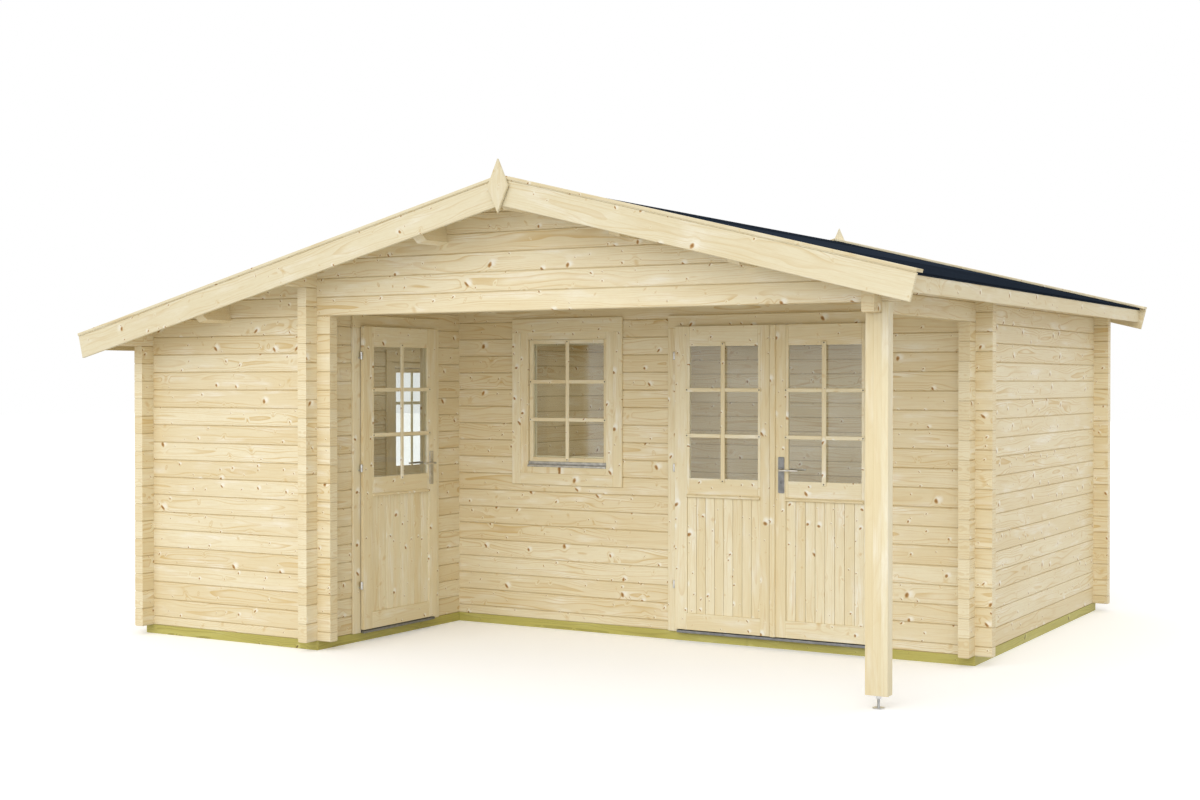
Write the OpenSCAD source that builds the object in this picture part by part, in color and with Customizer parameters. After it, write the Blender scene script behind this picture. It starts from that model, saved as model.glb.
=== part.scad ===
// Wooden summer house of interlocking logs: a small room beside a main room that
// stands back behind a corner porch, under one pitched roof on log walls and a post.
// All sizes are millimetres. +X runs along the front to the right, +Y to the back, +Z up.

/* [Plan] */
// Outer width across the log walls
house_w = 5106; // [4800:1:5600]
// Outer depth across the log walls
house_d = 4262; // [3900:1:4800]
// Outer width of the small room on the left
room_w = 1452; // [1350:1:1600]
// Depth of the porch, from the front face to the main room's front wall
porch_d = 1498; // [1400:1:1700]

/* [Logs] */
// Thickness of a wall log
log_t = 68; // [50:1:80]
// Height of one log course
log_h = 114; // [108:1:120]
// Length of the log ends that stand out past a corner
log_end = 101; // [70:1:130]
// Depth of the bevel along each edge of a log
bevel = 6; // [3:1:9]
// Whole courses under the porch beam
beam_course = 17; // [17:1:18]

/* [Floor] */
// Height of the bearers on the ground
bearer_h = 57; // [45:1:75]
// Width of a bearer
bearer_w = 95; // [85:1:110]
// Thickness of the floor boards
floor_t = 19; // [15:1:28]
// Clearance of the floor boards round a log end
floor_gap = 2; // [1:0.5:4]
// Number of joists under the main room's floor
joists = 4; // [2:1:6]

/* [Roof] */
// Slope of both roof planes in degrees
pitch = 14; // [11:0.5:15]
// Distance of the ridge to the right of the house's middle
ridge_off = 454; // [350:1:550]
// Thickness of the roof boards
board_t = 19; // [16:1:24]
// Thickness of the roofing felt
felt_t = 4; // [3:1:6]
// How far the felt is folded down over the eave
felt_drip = 14; // [8:1:25]
// Eave overhang, wall face to fascia face
eave_over = 247; // [200:1:300]
// Front overhang of the roof boards
front_over = 285; // [250:1:340]
// Back overhang of the roof boards
back_over = 235; // [210:1:340]
// Thickness of the fascia boards
fascia_t = 19; // [15:1:28]
// Height of the fascia boards
fascia_h = 98; // [80:1:120]
// Thickness of the bargeboards
barge_t = 20; // [16:1:28]
// Height of the bargeboards, square to the slope
barge_h = 143; // [120:1:160]
// How far the bargeboards run on past the fascia
barge_past = 42; // [20:1:60]
// Thickness of the cap boards on the roof edge
cap_t = 17; // [14:1:24]
// Width of the cap boards
cap_w = 90; // [70:1:120]
// How far the cap boards stand out past the bargeboards
cap_lip = 6; // [2:1:12]
// Height of the diamond finial boards
finial_h = 298; // [260:1:330]
// Width of the diamond finial boards
finial_w = 134; // [100:1:150]

/* [Purlins] */
// Width of a purlin
purlin_w = 68; // [50:1:80]
// Height of a purlin, square to the slope
purlin_h = 143; // [120:1:160]
// Height and length of the 45 degree cut under the purlin ends
purlin_cut = 70; // [40:1:90]
// Left upper purlin, share of the slope between the ridge and the left wall
left_upper_share = 0.21; // [0.18:0.005:0.25]
// Left lower purlin, share of the slope between the ridge and the left wall
left_lower_share = 0.773; // [0.72:0.001:0.8]
// Right upper purlin, share of the slope between the ridge and the right wall
right_upper_share = 0.339; // [0.3:0.001:0.37]
// Right lower purlin, share of the slope between the ridge and the right wall
right_lower_share = 0.6745; // [0.63:0.0005:0.72]

/* [Post] */
// Width of the porch post
post_w = 121; // [105:1:140]
// Depth of the porch post
post_d = 68; // [56:1:76]
// How far the post reaches inside the side beam
post_inset = 17; // [8:1:24]
// Height of the steel foot under the post
foot_h = 68; // [55:1:90]
// Diameter of the foot's base plate
foot_d = 64; // [54:1:80]

/* [Doors] */
// Centre of the porch door, from the front face
side_door_y = 781; // [745:1:805]
// Width of the porch door leaf
side_leaf_w = 776; // [730:1:800]
// Plain wall right of the double door, as a share of the main front's plain wall
wall_right_share = 0.393; // [0.355:0.001:0.43]
// Width across both leaves of the double door, as a share of the main front
double_leaf_share = 0.3738; // [0.35:0.0001:0.395]
// Where the two leaves meet, left of the double door's centre
meeting_x = 19; // [12:1:24]
// Thickness of the outer layer of a leaf, which laps the frame
lip_t = 25; // [20:1:28]
// Thickness of the inner layer of a leaf, which fits into the frame
core_t = 24; // [20:1:28]
// How far the outer layer stands out past the inner one
lip = 14; // [12:1:18]
// Clearance round a moving leaf
leaf_gap = 6; // [6:0.5:8]
// Clearance between the two leaves
meeting_gap = 7.5; // [7.5:0.5:9]
// Width of the stiles, up to the beads round the glass
stile = 87; // [78:1:98]
// Width of the left leaf's meeting stile
meeting_stile = 63; // [55:1:72]
// Width of the beads that hold the glass at the stiles
bead = 17; // [12:1:20]
// Height of the bottom rail
bottom_rail = 110; // [95:1:130]
// Height of the top rail
top_rail = 127; // [105:1:145]
// Lower edge of the glass above the leaf's foot
glass_sill = 967; // [900:1:1020]
// Height of the lock rail
lock_rail = 101; // [90:1:120]
// Depth of the lower panel behind the stiles
panel_recess = 8; // [5:1:10]
// Height of the weather ledge
ledge_h = 20; // [15:1:26]
// How far the weather ledge stands out
ledge_out = 18; // [12:1:22]
// Width of the cover strip on the meeting stile
strip_w = 34; // [28:1:42]
// Thickness of the cover strip
strip_t = 15; // [10:1:18]

/* [Frames] */
// Thickness of the cover boards round doors and windows
trim_t = 18; // [15:1:22]
// Cover boards of a door, from the leaf's edge to their outer edge
door_trim = 67; // [60:1:75]
// Height of a door frame's head above the leaf
head_h = 52; // [46:1:60]
// Door frame's outer edge, past the leaf's edge
jamb_out = 36; // [30:1:44]
// Cover boards above a door's or window's opening
trim_over = 20; // [15:1:30]
// Height of the metal threshold
sill_t = 9; // [6:1:9]
// How far the threshold stands out
sill_out = 20; // [10:1:22]
// Thickness of the glass
glass_t = 6; // [4:1:8]
// How far the glass of a door stands behind the leaf's face
glass_in = 8; // [6:1:14]

/* [Windows] */
// Plain wall left of the main room's window, as a share of the main front's plain wall
wall_left_share = 0.345; // [0.31:0.001:0.38]
// Centre of the small room's window, from the front face
side_window_y = 2878; // [2800:1:2950]
// Width of the opening for a window, as a share of the main front
window_share = 0.2157; // [0.205:0.0001:0.23]
// Courses in the height of a window
window_courses = 9; // [8:1:9]
// Whole courses under the main room's window
window_course = 8; // [7:1:8]
// Whole courses under the small room's window
side_window_course = 7; // [6:1:7]
// Width of the cover boards beside a window
window_trim = 66; // [58:1:76]
// Height of the cover board over a window
window_top_trim = 95; // [85:1:105]
// Cover board below a window's opening
trim_under = 65; // [50:1:80]
// Width of a window frame's posts
window_post = 90; // [80:1:100]
// Height of a window frame's lower rail
window_foot = 54; // [44:1:64]
// Height of a window frame's upper rail
window_head = 121; // [108:1:134]
// Depth of a window frame's front face behind the cover boards
frame_back = 8; // [4:1:12]
// Depth of the sash's front face behind the cover boards
sash_back = 26; // [20:1:32]
// Thickness of a sash
sash_t = 45; // [36:1:56]
// Width of the sash posts and upper rail
sash_w = 29; // [24:1:38]
// Height of the sash's lower rail
sash_foot = 64; // [55:1:80]
// Height of the metal drip rail under a sash
drip_h = 37; // [30:1:44]
// How far the drip rail stands out from the sash
drip_out = 24; // [18:1:30]

/* [Fittings] */
// Radius of a hinge barrel
barrel_r = 9; // [8:0.5:10]
// Height of one half of a hinge
barrel_h = 26; // [22:1:32]
// Radius of a hinge pin
pin_r = 4; // [3:0.5:5]
// Clearance round a hinge pin and round a lever's neck
pin_gap = 0.5; // [0.4:0.1:1]
// Radius of the stem that holds each half of a hinge
stem_r = 4.5; // [3.5:0.5:4.5]
// Thickness of a barrel's closed end
barrel_cap = 3; // [2:0.5:4]
// Height of the lowest hinge above the leaf's foot
hinge_low = 286; // [220:1:340]
// Height of the middle hinge above the leaf's foot
hinge_mid = 1029; // [980:1:1080]
// Depth of the highest hinge below the leaf's top
hinge_high = 186; // [140:1:240]
// Height of the levers above the leaf's foot
lever_up = 1035; // [1000:1:1080]
// Porch door's lever, in from the leaf's free edge
side_lever_in = 65; // [55:1:75]
// Double door's lever, in from the leaf's free edge
double_lever_in = 73; // [66:1:82]
// Length of a lever
lever_len = 122; // [100:1:140]
// Radius of a lever and its neck
lever_r = 8; // [7:0.5:10]
// Distance of a lever from its plate
lever_out = 38; // [30:1:45]
// Width of a lever's plate
plate_w = 40; // [34:1:48]
// Height of a lever's plate
plate_h = 222; // [190:1:250]
// Thickness of a lever's plate
plate_t = 6; // [4:1:8]

/* [Hidden] */
$fn = 48;
spruce = [0.90, 0.83, 0.68];
planed = [0.93, 0.87, 0.72];
green_wood = [0.68, 0.65, 0.36];
felt_blue = [0.15, 0.18, 0.22];
steel = [0.66, 0.67, 0.68];
pane = [0.78, 0.85, 0.88, 0.5];
// Overlap that lets a cut pass clean through a face
cut = 1;
// Play between pieces that bear on each other
seat = 0.1;
// Heights of the log joints: logs along X start with half a log, logs along Y with a whole one
wall_z = bearer_h;
joint_x = wall_z + log_h / 2;
joint_y = wall_z;
beam_x_z = joint_x + beam_course * log_h;
beam_y_z = joint_y + beam_course * log_h;
plate_y_z = beam_y_z - log_h;
porch_top_z = beam_y_z + 2 * log_h;
// Log walls by their outer and inner faces
part_x = room_w - log_t;
right_x = house_w - log_t;
back_y = house_d - log_t;
// Main front: the window, the double door and the plain wall that is left beside them
main_front = house_w - room_w;
window_w = window_share * main_front;
double_leaf_w = double_leaf_share * main_front;
window_cover = window_w + window_trim;
door_cover = double_leaf_w + 2 * door_trim;
plain_wall = main_front - window_cover - door_cover;
window_x = room_w + wall_left_share * plain_wall + window_cover / 2;
double_door_x = house_w - wall_right_share * plain_wall - door_cover / 2;
// Roof underside at the ridge: it passes over the right wall's outer top edge
ridge_x = house_w / 2 + ridge_off;
eave_wall_z = beam_y_z + 2 * log_h;
ridge_z = eave_wall_z + (house_w - ridge_x) * tan(pitch);
function under_z(x) = ridge_z - abs(x - ridge_x) * tan(pitch);
left_upper = left_upper_share * ridge_x / cos(pitch);
left_lower = left_lower_share * ridge_x / cos(pitch);
right_upper = right_upper_share * (house_w - ridge_x) / cos(pitch);
right_lower = right_lower_share * (house_w - ridge_x) / cos(pitch);
rise = board_t / cos(pitch);
felt_rise = (board_t + felt_t) / cos(pitch);
roof_front = -front_over;
roof_back = house_d + back_over;
left_eave = -eave_over;
right_eave = house_w + eave_over;
left_run = (ridge_x + eave_over + barge_past) / cos(pitch);
right_run = (house_w - ridge_x + eave_over + barge_past) / cos(pitch);
finial_t = barge_t;
mid_y = (roof_front + roof_back) / 2;
roof_top = ridge_z + log_h;
// Leaves
leaf_z0 = wall_z + sill_t + leaf_gap + cut;
leaf_z1 = beam_x_z - head_h;
lip_y = -trim_t - leaf_gap;
face_y = lip_y - lip_t;
core_y = lip_y + core_t;
frame_in = lip - leaf_gap;
hinge_u = barrel_r + 1;
hinge_v = lip_y - lip_t / 2;
hinge_z = [leaf_z0 + hinge_low, leaf_z0 + hinge_mid, leaf_z1 - hinge_high];
lever_z = leaf_z0 + lever_up;
side_half = side_leaf_w / 2;
double_half = double_leaf_w / 2;
side_lever_x = side_half - side_lever_in;
right_leaf_x = meeting_gap / 2 - meeting_x;
left_leaf_x = -meeting_gap / 2 - meeting_x;
double_lever_x = right_leaf_x + double_lever_in;
double_panel = double_half - stile;
meeting_panel = -left_leaf_x + meeting_stile;
side_open = side_half + jamb_out + seat;
double_open = double_half + jamb_out + seat;
// Windows
window_z = joint_x + window_course * log_h;
window_top = window_z + window_courses * log_h;
side_window_z = joint_y + side_window_course * log_h;
side_window_top = side_window_z + window_courses * log_h;
window_half = window_w / 2;
window_open = window_half + seat;
sash_half = window_half - window_post;

// Placing: the origin is on the ground under the middle of the roof
module house() { translate([-house_w / 2, -mid_y, 0]) children(); }
module at_side_door() { translate([room_w, side_door_y, 0]) rotate([0, 0, 90]) children(); }
module at_double_door() { translate([double_door_x, porch_d, 0]) children(); }
module at_main_window() { translate([window_x, porch_d, window_z]) children(); }
module at_side_window() { translate([0, side_window_y, side_window_z]) rotate([0, 0, -90]) children(); }

// Block given by its two corners
module block(a, b) { translate(a) cube(b - a); }

// Log walls
function joints_between(first, lo, hi) =
    [for (j = [0:40]) let (z = first + j * log_h) if (z > lo + cut && z < hi - cut) z];
function log_edges(first, lo, hi) = concat([lo], joints_between(first, lo, hi), [hi]);

// Section of a stack of bevelled logs
module stack(first, lo, hi) {
    z = log_edges(first, lo, hi);
    n = len(z) - 1;
    face = [for (i = [0:n - 1]) each [[bevel, z[i]], [0, z[i] + bevel], [0, z[i + 1] - bevel]]];
    rear = [for (i = [n:-1:1]) each [[log_t - bevel, z[i]], [log_t, z[i] - bevel], [log_t, z[i - 1] + bevel]]];
    polygon(concat(face, [[bevel, z[n]]], rear, [[log_t - bevel, z[0]]]));
}

// Notches where the logs of one direction cross those of the other
module notches(first, lo, hi, size) {
    for (j = [-1:25])
        let (z = first + j * log_h)
            if (z + log_h / 4 > lo && z - log_h / 4 < hi)
                translate([0, 0, z - log_h / 4]) cube([size[0], size[1], log_h / 2]);
}

// Stack of logs along X from x0 to x1, crossed by walls that start at each x in crossings
module logs_x(x0, x1, y, lo, hi, crossings = []) {
    difference() {
        translate([x0, y, 0]) rotate([90, 0, 90]) linear_extrude(x1 - x0) stack(joint_x, lo, hi);
        for (x = crossings)
            translate([x, y - cut, 0]) notches(joint_x, lo, hi, [log_t, log_t + 2 * cut]);
    }
}

// Stack of logs along Y from y0 to y1, crossed by walls that start at each y in crossings
module logs_y(y0, y1, x, lo, hi, crossings = []) {
    difference() {
        translate([x, y1, 0]) rotate([90, 0, 0]) linear_extrude(y1 - y0) stack(joint_y, lo, hi);
        for (y = crossings)
            translate([x - cut, y, 0]) notches(joint_y, lo, hi, [log_t + 2 * cut, log_t]);
    }
}

// Everything below the roof boards
module under_roof() {
    translate([0, roof_back + cut, 0]) rotate([90, 0, 0])
        linear_extrude(roof_back - roof_front + 2 * cut)
            polygon([
                [left_eave, 0], [right_eave, 0], [right_eave, under_z(right_eave) - seat],
                [ridge_x, ridge_z - seat], [left_eave, under_z(left_eave) - seat]
            ]);
}

// Roof members, laid out along a slope: x down the slope, z square to it from the boards' underside
module right_slope() { translate([ridge_x, 0, ridge_z]) rotate([0, pitch, 0]) children(); }
module left_slope() { translate([ridge_x, 0, ridge_z]) mirror([1, 0, 0]) rotate([0, pitch, 0]) children(); }

// Board down a slope, mitred upright at the ridge
module slope_board(run, low, high, y0, y1) {
    translate([0, y1, 0]) rotate([90, 0, 0]) linear_extrude(y1 - y0)
        polygon([[ridge_gap - low * tan(pitch), low], [run, low], [run, high], [ridge_gap - high * tan(pitch), high]]);
}
// Saw cut between the boards that meet at the ridge
ridge_gap = 0.5;

// Purlin of full section, and one with its ends cut back underneath
module purlin_bar(at) { block([at - purlin_w / 2, roof_front, -purlin_h], [at + purlin_w / 2, roof_back, 0]); }
module purlin(at) {
    translate([at - purlin_w / 2, 0, 0]) rotate([90, 0, 90]) linear_extrude(purlin_w)
        polygon([
            [roof_front, -seat], [roof_front, purlin_cut - purlin_h], [roof_front + purlin_cut, -purlin_h],
            [roof_back - purlin_cut, -purlin_h], [roof_back, purlin_cut - purlin_h], [roof_back, -seat]
        ]);
}
module each_purlin() {
    left_slope() { children(0); children(1); }
    right_slope() { children(2); children(3); }
}
module ridge_purlin() {
    intersection() {
        translate([ridge_x - purlin_w / 2, 0, ridge_z]) rotate([90, 0, 90]) linear_extrude(purlin_w)
            polygon([
                [roof_front, 0], [roof_front, purlin_cut - purlin_h], [roof_front + purlin_cut, -purlin_h],
                [roof_back - purlin_cut, -purlin_h], [roof_back, purlin_cut - purlin_h], [roof_back, 0]
            ]);
        under_roof();
    }
}
module purlin_seats() {
    each_purlin() { purlin_bar(left_upper); purlin_bar(left_lower); purlin_bar(right_upper); purlin_bar(right_lower); }
    block(
        [ridge_x - purlin_w / 2, roof_front, ridge_z - purlin_h],
        [ridge_x + purlin_w / 2, roof_back, ridge_z + cut]);
}

// Gable logs, cut to the roof and seated round the purlins
module gable() {
    difference() {
        intersection() {
            children();
            under_roof();
        }
        purlin_seats();
    }
}

// Ground
module ground_bearers() {
    color(green_wood) house() {
        block([0, 0, 0], [bearer_w, house_d, bearer_h]);
        block([room_w - bearer_w, 0, 0], [room_w, house_d, bearer_h]);
        block([house_w - bearer_w, porch_d, 0], [house_w, house_d, bearer_h]);
    }
}
module cross_bearers() {
    span = house_d - porch_d - 2 * bearer_w;
    color(green_wood) house() {
        for (y = [0, house_d - bearer_w])
            block([bearer_w, y, 0], [room_w - bearer_w, y + bearer_w, bearer_h]);
        for (i = [0:joists + 1])
            let (y = porch_d + i * (span + bearer_w) / (joists + 1))
                block([room_w, y, 0], [house_w - bearer_w, y + bearer_w, bearer_h]);
    }
}
module small_room_floor() {
    ends = [part_x - log_end - floor_gap, porch_d - floor_gap, wall_z - cut];
    color(planed) house() difference() {
        block([log_t, log_t, wall_z], [part_x, back_y, wall_z + floor_t]);
        block(ends, [part_x + cut, porch_d + log_t + floor_gap, wall_z + floor_t + cut]);
    }
}
module main_room_floor() {
    color(planed) house()
        block([room_w, porch_d + log_t, wall_z], [right_x, back_y, wall_z + floor_t]);
}

// Walls
module front_wall() {
    color(spruce) house() gable()
        logs_x(-log_end, room_w + log_end, 0, wall_z, beam_x_z, [0, part_x]);
}
module front_gable() {
    color(spruce) house() gable()
        logs_x(0, house_w + log_end, 0, beam_x_z, roof_top, [part_x, right_x]);
}
module left_wall_lower() {
    color(spruce) house()
        logs_y(-log_end, house_d + log_end, 0, wall_z, side_window_z, [0, back_y]);
}
module left_wall_beside_window() {
    color(spruce) house() {
        logs_y(-log_end, side_window_y - window_open, 0, side_window_z, side_window_top, [0]);
        logs_y(side_window_y + window_open, house_d + log_end, 0, side_window_z, side_window_top, [back_y]);
    }
}
module left_wall_plate() {
    color(spruce) house() intersection() {
        logs_y(roof_front, roof_back, 0, plate_y_z, plate_y_z + 2 * log_h, [0, back_y]);
        under_roof();
    }
}
module porch_wall_front() {
    color(spruce) house()
        logs_y(-log_end, side_door_y - side_open, part_x, wall_z, beam_y_z, [0]);
}
module partition_wall() {
    color(spruce) house()
        logs_y(side_door_y + side_open, house_d + log_end, part_x, wall_z, beam_y_z, [porch_d, back_y]);
}
module porch_wall_upper() {
    crossings = [0, porch_d, back_y];
    color(spruce) house() difference() {
        intersection() {
            union() {
                logs_y(-log_end, house_d + log_end, part_x, beam_y_z, porch_top_z, crossings);
                logs_y(roof_front, roof_back, part_x, porch_top_z, porch_top_z + 2 * log_h, crossings);
            }
            under_roof();
        }
        block(
            [part_x - cut, side_door_y - side_open, beam_y_z - cut],
            [room_w + cut, side_door_y + side_open, beam_x_z]);
    }
}
module main_wall_under_window() {
    color(spruce) house()
        logs_x(part_x - log_end, double_door_x - double_open, porch_d, wall_z, window_z, [part_x]);
}
module main_wall_beside_window() {
    color(spruce) house() {
        logs_x(part_x - log_end, window_x - window_open, porch_d, window_z, beam_x_z, [part_x]);
        logs_x(window_x + window_open, double_door_x - double_open, porch_d, window_z, beam_x_z);
    }
}
module main_wall_right() {
    color(spruce) house()
        logs_x(double_door_x + double_open, house_w + log_end, porch_d, wall_z, beam_x_z, [right_x]);
}
module main_wall_over() {
    color(spruce) house() gable()
        logs_x(part_x - log_end, house_w + log_end, porch_d, beam_x_z, roof_top, [part_x, right_x]);
}
module right_wall() {
    color(spruce) house()
        logs_y(porch_d - log_end, house_d + log_end, right_x, wall_z, beam_y_z, [porch_d, back_y]);
}
module side_beam() {
    crossings = [0, porch_d, back_y];
    color(spruce) house() intersection() {
        union() {
            logs_y(-log_end, house_d + log_end, right_x, beam_y_z, beam_y_z + log_h, crossings);
            logs_y(roof_front, roof_back, right_x, beam_y_z + log_h, beam_y_z + 3 * log_h, crossings);
        }
        under_roof();
    }
}
module back_wall() {
    color(spruce) house() gable()
        logs_x(-log_end, house_w + log_end, back_y, wall_z, roof_top, [0, part_x, right_x]);
}

// Roof
module purlins() {
    color(spruce) house() {
        each_purlin() { purlin(left_upper); purlin(left_lower); purlin(right_upper); purlin(right_lower); }
        ridge_purlin();
    }
}
// Layer of the roof between the ridge and an eave at x, between two heights above the underside
module roof_layer(x, low, high, y0, y1) {
    top = ridge_x + sign(x - ridge_x) * ridge_gap;
    translate([0, y1, 0]) rotate([90, 0, 0]) linear_extrude(y1 - y0)
        polygon([
            [top, under_z(top) + low], [x, under_z(x) + low],
            [x, under_z(x) + high], [top, under_z(top) + high]
        ]);
}
module felt(x) {
    out = x + sign(x - ridge_x) * felt_t;
    roof_layer(out, rise, felt_rise - seat, roof_front - barge_t, roof_back + barge_t);
    block(
        [min(x, out), roof_front, under_z(x) + rise - felt_drip],
        [max(x, out), roof_back, under_z(x) + rise + cut]);
}
module roof_boards_left() {
    color(planed) house() roof_layer(left_eave + fascia_t, 0, rise - seat, roof_front, roof_back);
}
module roof_boards_right() {
    color(planed) house() roof_layer(right_eave - fascia_t, 0, rise - seat, roof_front, roof_back);
}
module roof_felt_left() { color(felt_blue) house() felt(left_eave); }
module roof_felt_right() { color(felt_blue) house() felt(right_eave); }
module bargeboards(y0, y1) {
    left_slope() slope_board(left_run, board_t - barge_h, board_t - seat, y0, y1);
    right_slope() slope_board(right_run, board_t - barge_h, board_t - seat, y0, y1);
}
module caps(y0, y1) {
    low = board_t + felt_t;
    left_slope() slope_board(left_run, low, low + cap_t, y0, y1);
    right_slope() slope_board(right_run, low, low + cap_t, y0, y1);
}
module front_bargeboards() { color(planed) house() bargeboards(roof_front - barge_t, roof_front); }
module back_bargeboards() { color(planed) house() bargeboards(roof_back, roof_back + barge_t); }
module front_caps() {
    edge = roof_front - barge_t - cap_lip;
    color(planed) house() caps(edge, edge + cap_w);
}
module back_caps() {
    edge = roof_back + barge_t + cap_lip;
    color(planed) house() caps(edge - cap_w, edge);
}
module fascia(inner, outer) {
    top = rise - seat;
    low = under_z(outer) + top - fascia_h;
    translate([0, roof_back, 0]) rotate([90, 0, 0]) linear_extrude(roof_back - roof_front)
        polygon([[inner, low], [outer, low], [outer, under_z(outer) + top], [inner, under_z(inner) + top]]);
}
module eave_fascias() {
    color(planed) house() {
        fascia(left_eave + fascia_t, left_eave);
        fascia(right_eave - fascia_t, right_eave);
    }
}
module finial(y) {
    middle = ridge_z + rise - finial_h / 7;
    translate([ridge_x, y + finial_t, middle]) rotate([90, 0, 0]) linear_extrude(finial_t)
        polygon([[-finial_w / 2, 0], [0, -finial_h / 2], [finial_w / 2, 0], [0, finial_h / 2]]);
}
module finials() {
    color(planed) house() {
        finial(roof_front - barge_t - cap_lip - finial_t);
        finial(roof_back + barge_t + cap_lip);
    }
}

// Porch post
module porch_post() {
    inside = right_x - post_inset;
    color(planed) house() {
        block([inside, 0, foot_h], [inside + post_w, post_d, beam_y_z]);
        block([house_w, 0, foot_h], [inside + post_w, post_d, beam_x_z]);
    }
}
module post_foot() {
    plate = 5;
    top_plate = 3;
    rod_r = 7.5;
    nut_r = 15;
    nut_h = 16;
    color(steel) house() translate([right_x - post_inset + post_w / 2, post_d / 2, 0]) {
        cylinder(h = plate, d = foot_d);
        cylinder(h = foot_h, r = rod_r);
        translate([0, 0, foot_h - top_plate - nut_h]) cylinder(h = nut_h, r = nut_r, $fn = 6);
        translate([0, 0, foot_h - top_plate]) cylinder(h = top_plate, d = 3 * nut_r);
    }
}

// Doors, seen from outside: x to the right, y into the house, z up, from the wall's face
module door_frame(half) {
    inner = half - frame_in;
    outer = half + jamb_out;
    cover = half + door_trim;
    head = leaf_z1 - frame_in;
    color(planed) difference() {
        union() {
            block([-outer, -trim_t, wall_z], [outer, log_t, beam_x_z]);
            block([-cover, -trim_t, wall_z], [cover, 0, beam_x_z + trim_over]);
            block([-cover, log_t, wall_z + floor_t], [cover, log_t + trim_t, beam_x_z + trim_over]);
        }
        block([-inner, -trim_t - cut, wall_z - cut], [inner, log_t + trim_t + cut, head]);
    }
}

// Leaf from x0 to x1, its inner layer set in at the sides that have a lip, with panel and ledge from g0 to g1
module leaf(x0, x1, lip0, lip1, g0, g1, bore_x = undef) {
    panel_z0 = leaf_z0 + bottom_rail;
    glass_z0 = leaf_z0 + glass_sill;
    panel_z1 = glass_z0 - lock_rail - ledge_h;
    difference() {
        union() {
            block([x0, face_y, leaf_z0], [x1, lip_y, leaf_z1]);
            block([x0 + lip0, lip_y - cut, leaf_z0], [x1 - lip1, core_y, leaf_z1 - lip]);
            block([g0, face_y - ledge_out, panel_z1], [g1, face_y + cut, panel_z1 + ledge_h]);
        }
        block([g0 + bead, face_y - cut, glass_z0], [g1 - bead, core_y + cut, leaf_z1 - top_rail]);
        block([g0, face_y - cut, panel_z0], [g1, face_y + panel_recess, panel_z1]);
        block([g0, core_y - panel_recess, panel_z0], [g1, core_y + cut, panel_z1 + ledge_h]);
        if (bore_x != undef) lever_bore(bore_x);
    }
}
module leaf_glass(g0, g1) {
    y = face_y + glass_in;
    color(pane) block([g0 + bead, y, leaf_z0 + glass_sill], [g1 - bead, y + glass_t, leaf_z1 - top_rail]);
}
module lever_bore(x) {
    translate([x, core_y + plate_t + cut, lever_z]) rotate([90, 0, 0])
        cylinder(h = core_y - face_y + 2 * plate_t + 2 * cut, r = lever_r + pin_gap);
}

// Leaf half of the hinges at the edge x; side is 1 where the leaf lies to the right of it
module leaf_hinges(x, side) {
    for (z = hinge_z)
        translate([x - side * hinge_u, hinge_v, z]) difference() {
            union() {
                translate([0, 0, cut]) cylinder(h = barrel_h, r = barrel_r);
                translate([0, 0, cut + barrel_h / 2]) rotate([0, side * 90, 0]) cylinder(h = hinge_u, r = stem_r);
            }
            translate([0, 0, -cut]) cylinder(h = barrel_h - barrel_cap + cut, r = pin_r + pin_gap);
        }
}
// Frame half of the same hinges, with the pins
module frame_hinges(x, side) {
    for (z = hinge_z)
        translate([x - side * hinge_u, hinge_v, z - barrel_h]) {
            cylinder(h = barrel_h, r = barrel_r);
            cylinder(h = 2 * barrel_h - 3 * barrel_cap, r = pin_r);
            translate([0, 0, barrel_h / 2]) rotate([-90, 0, 0]) cylinder(h = -trim_t - hinge_v, r = stem_r);
        }
}

// Plates on both faces of a leaf, and the pair of levers on one neck
module lever_plates(x) {
    difference() {
        for (y = [face_y - plate_t, core_y])
            block(
                [x - plate_w / 2, y, lever_z - plate_h * 0.64],
                [x + plate_w / 2, y + plate_t, lever_z + plate_h * 0.36]);
        lever_bore(x);
    }
}
module lever(x, side) {
    outer = face_y - plate_t - lever_out;
    inner = core_y + plate_t + lever_out;
    color(steel) translate([x, 0, lever_z]) {
        translate([0, inner, 0]) rotate([90, 0, 0]) cylinder(h = inner - outer, r = lever_r);
        for (y = [outer, inner]) translate([0, y, 0]) {
            sphere(r = lever_r);
            rotate([0, side * 90, 0]) cylinder(h = lever_len, r = lever_r);
            translate([side * lever_len, 0, 0]) sphere(r = lever_r);
        }
    }
}

module side_door_frame() { house() at_side_door() door_frame(side_half); }
module side_door_leaf() {
    color(planed) house() at_side_door()
        leaf(-side_half, side_half, lip, lip, stile - side_half, side_half - stile, side_lever_x);
}
module side_door_glass() { house() at_side_door() leaf_glass(stile - side_half, side_half - stile); }
module side_door_fittings() {
    color(steel) house() at_side_door() {
        leaf_hinges(-side_half, 1);
        lever_plates(side_lever_x);
    }
}
module side_door_lever() { house() at_side_door() lever(side_lever_x, -1); }

module double_door_frame() { house() at_double_door() door_frame(double_half); }
module left_leaf() {
    color(planed) house() at_double_door()
        leaf(-double_half, left_leaf_x, lip, 0, -double_panel, -meeting_panel);
}
module left_leaf_glass() { house() at_double_door() leaf_glass(-double_panel, -meeting_panel); }
module left_leaf_hinges() { color(steel) house() at_double_door() leaf_hinges(-double_half, 1); }
module right_leaf() {
    color(planed) house() at_double_door() {
        leaf(right_leaf_x, double_half, 0, lip, meeting_panel, double_panel, double_lever_x);
        block([right_leaf_x, face_y - strip_t, leaf_z0], [right_leaf_x + strip_w, face_y, leaf_z1]);
    }
}
module right_leaf_glass() { house() at_double_door() leaf_glass(meeting_panel, double_panel); }
module right_leaf_fittings() {
    color(steel) house() at_double_door() {
        leaf_hinges(double_half, -1);
        lever_plates(double_lever_x);
    }
}
module double_door_lever() { house() at_double_door() lever(double_lever_x, 1); }

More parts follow.
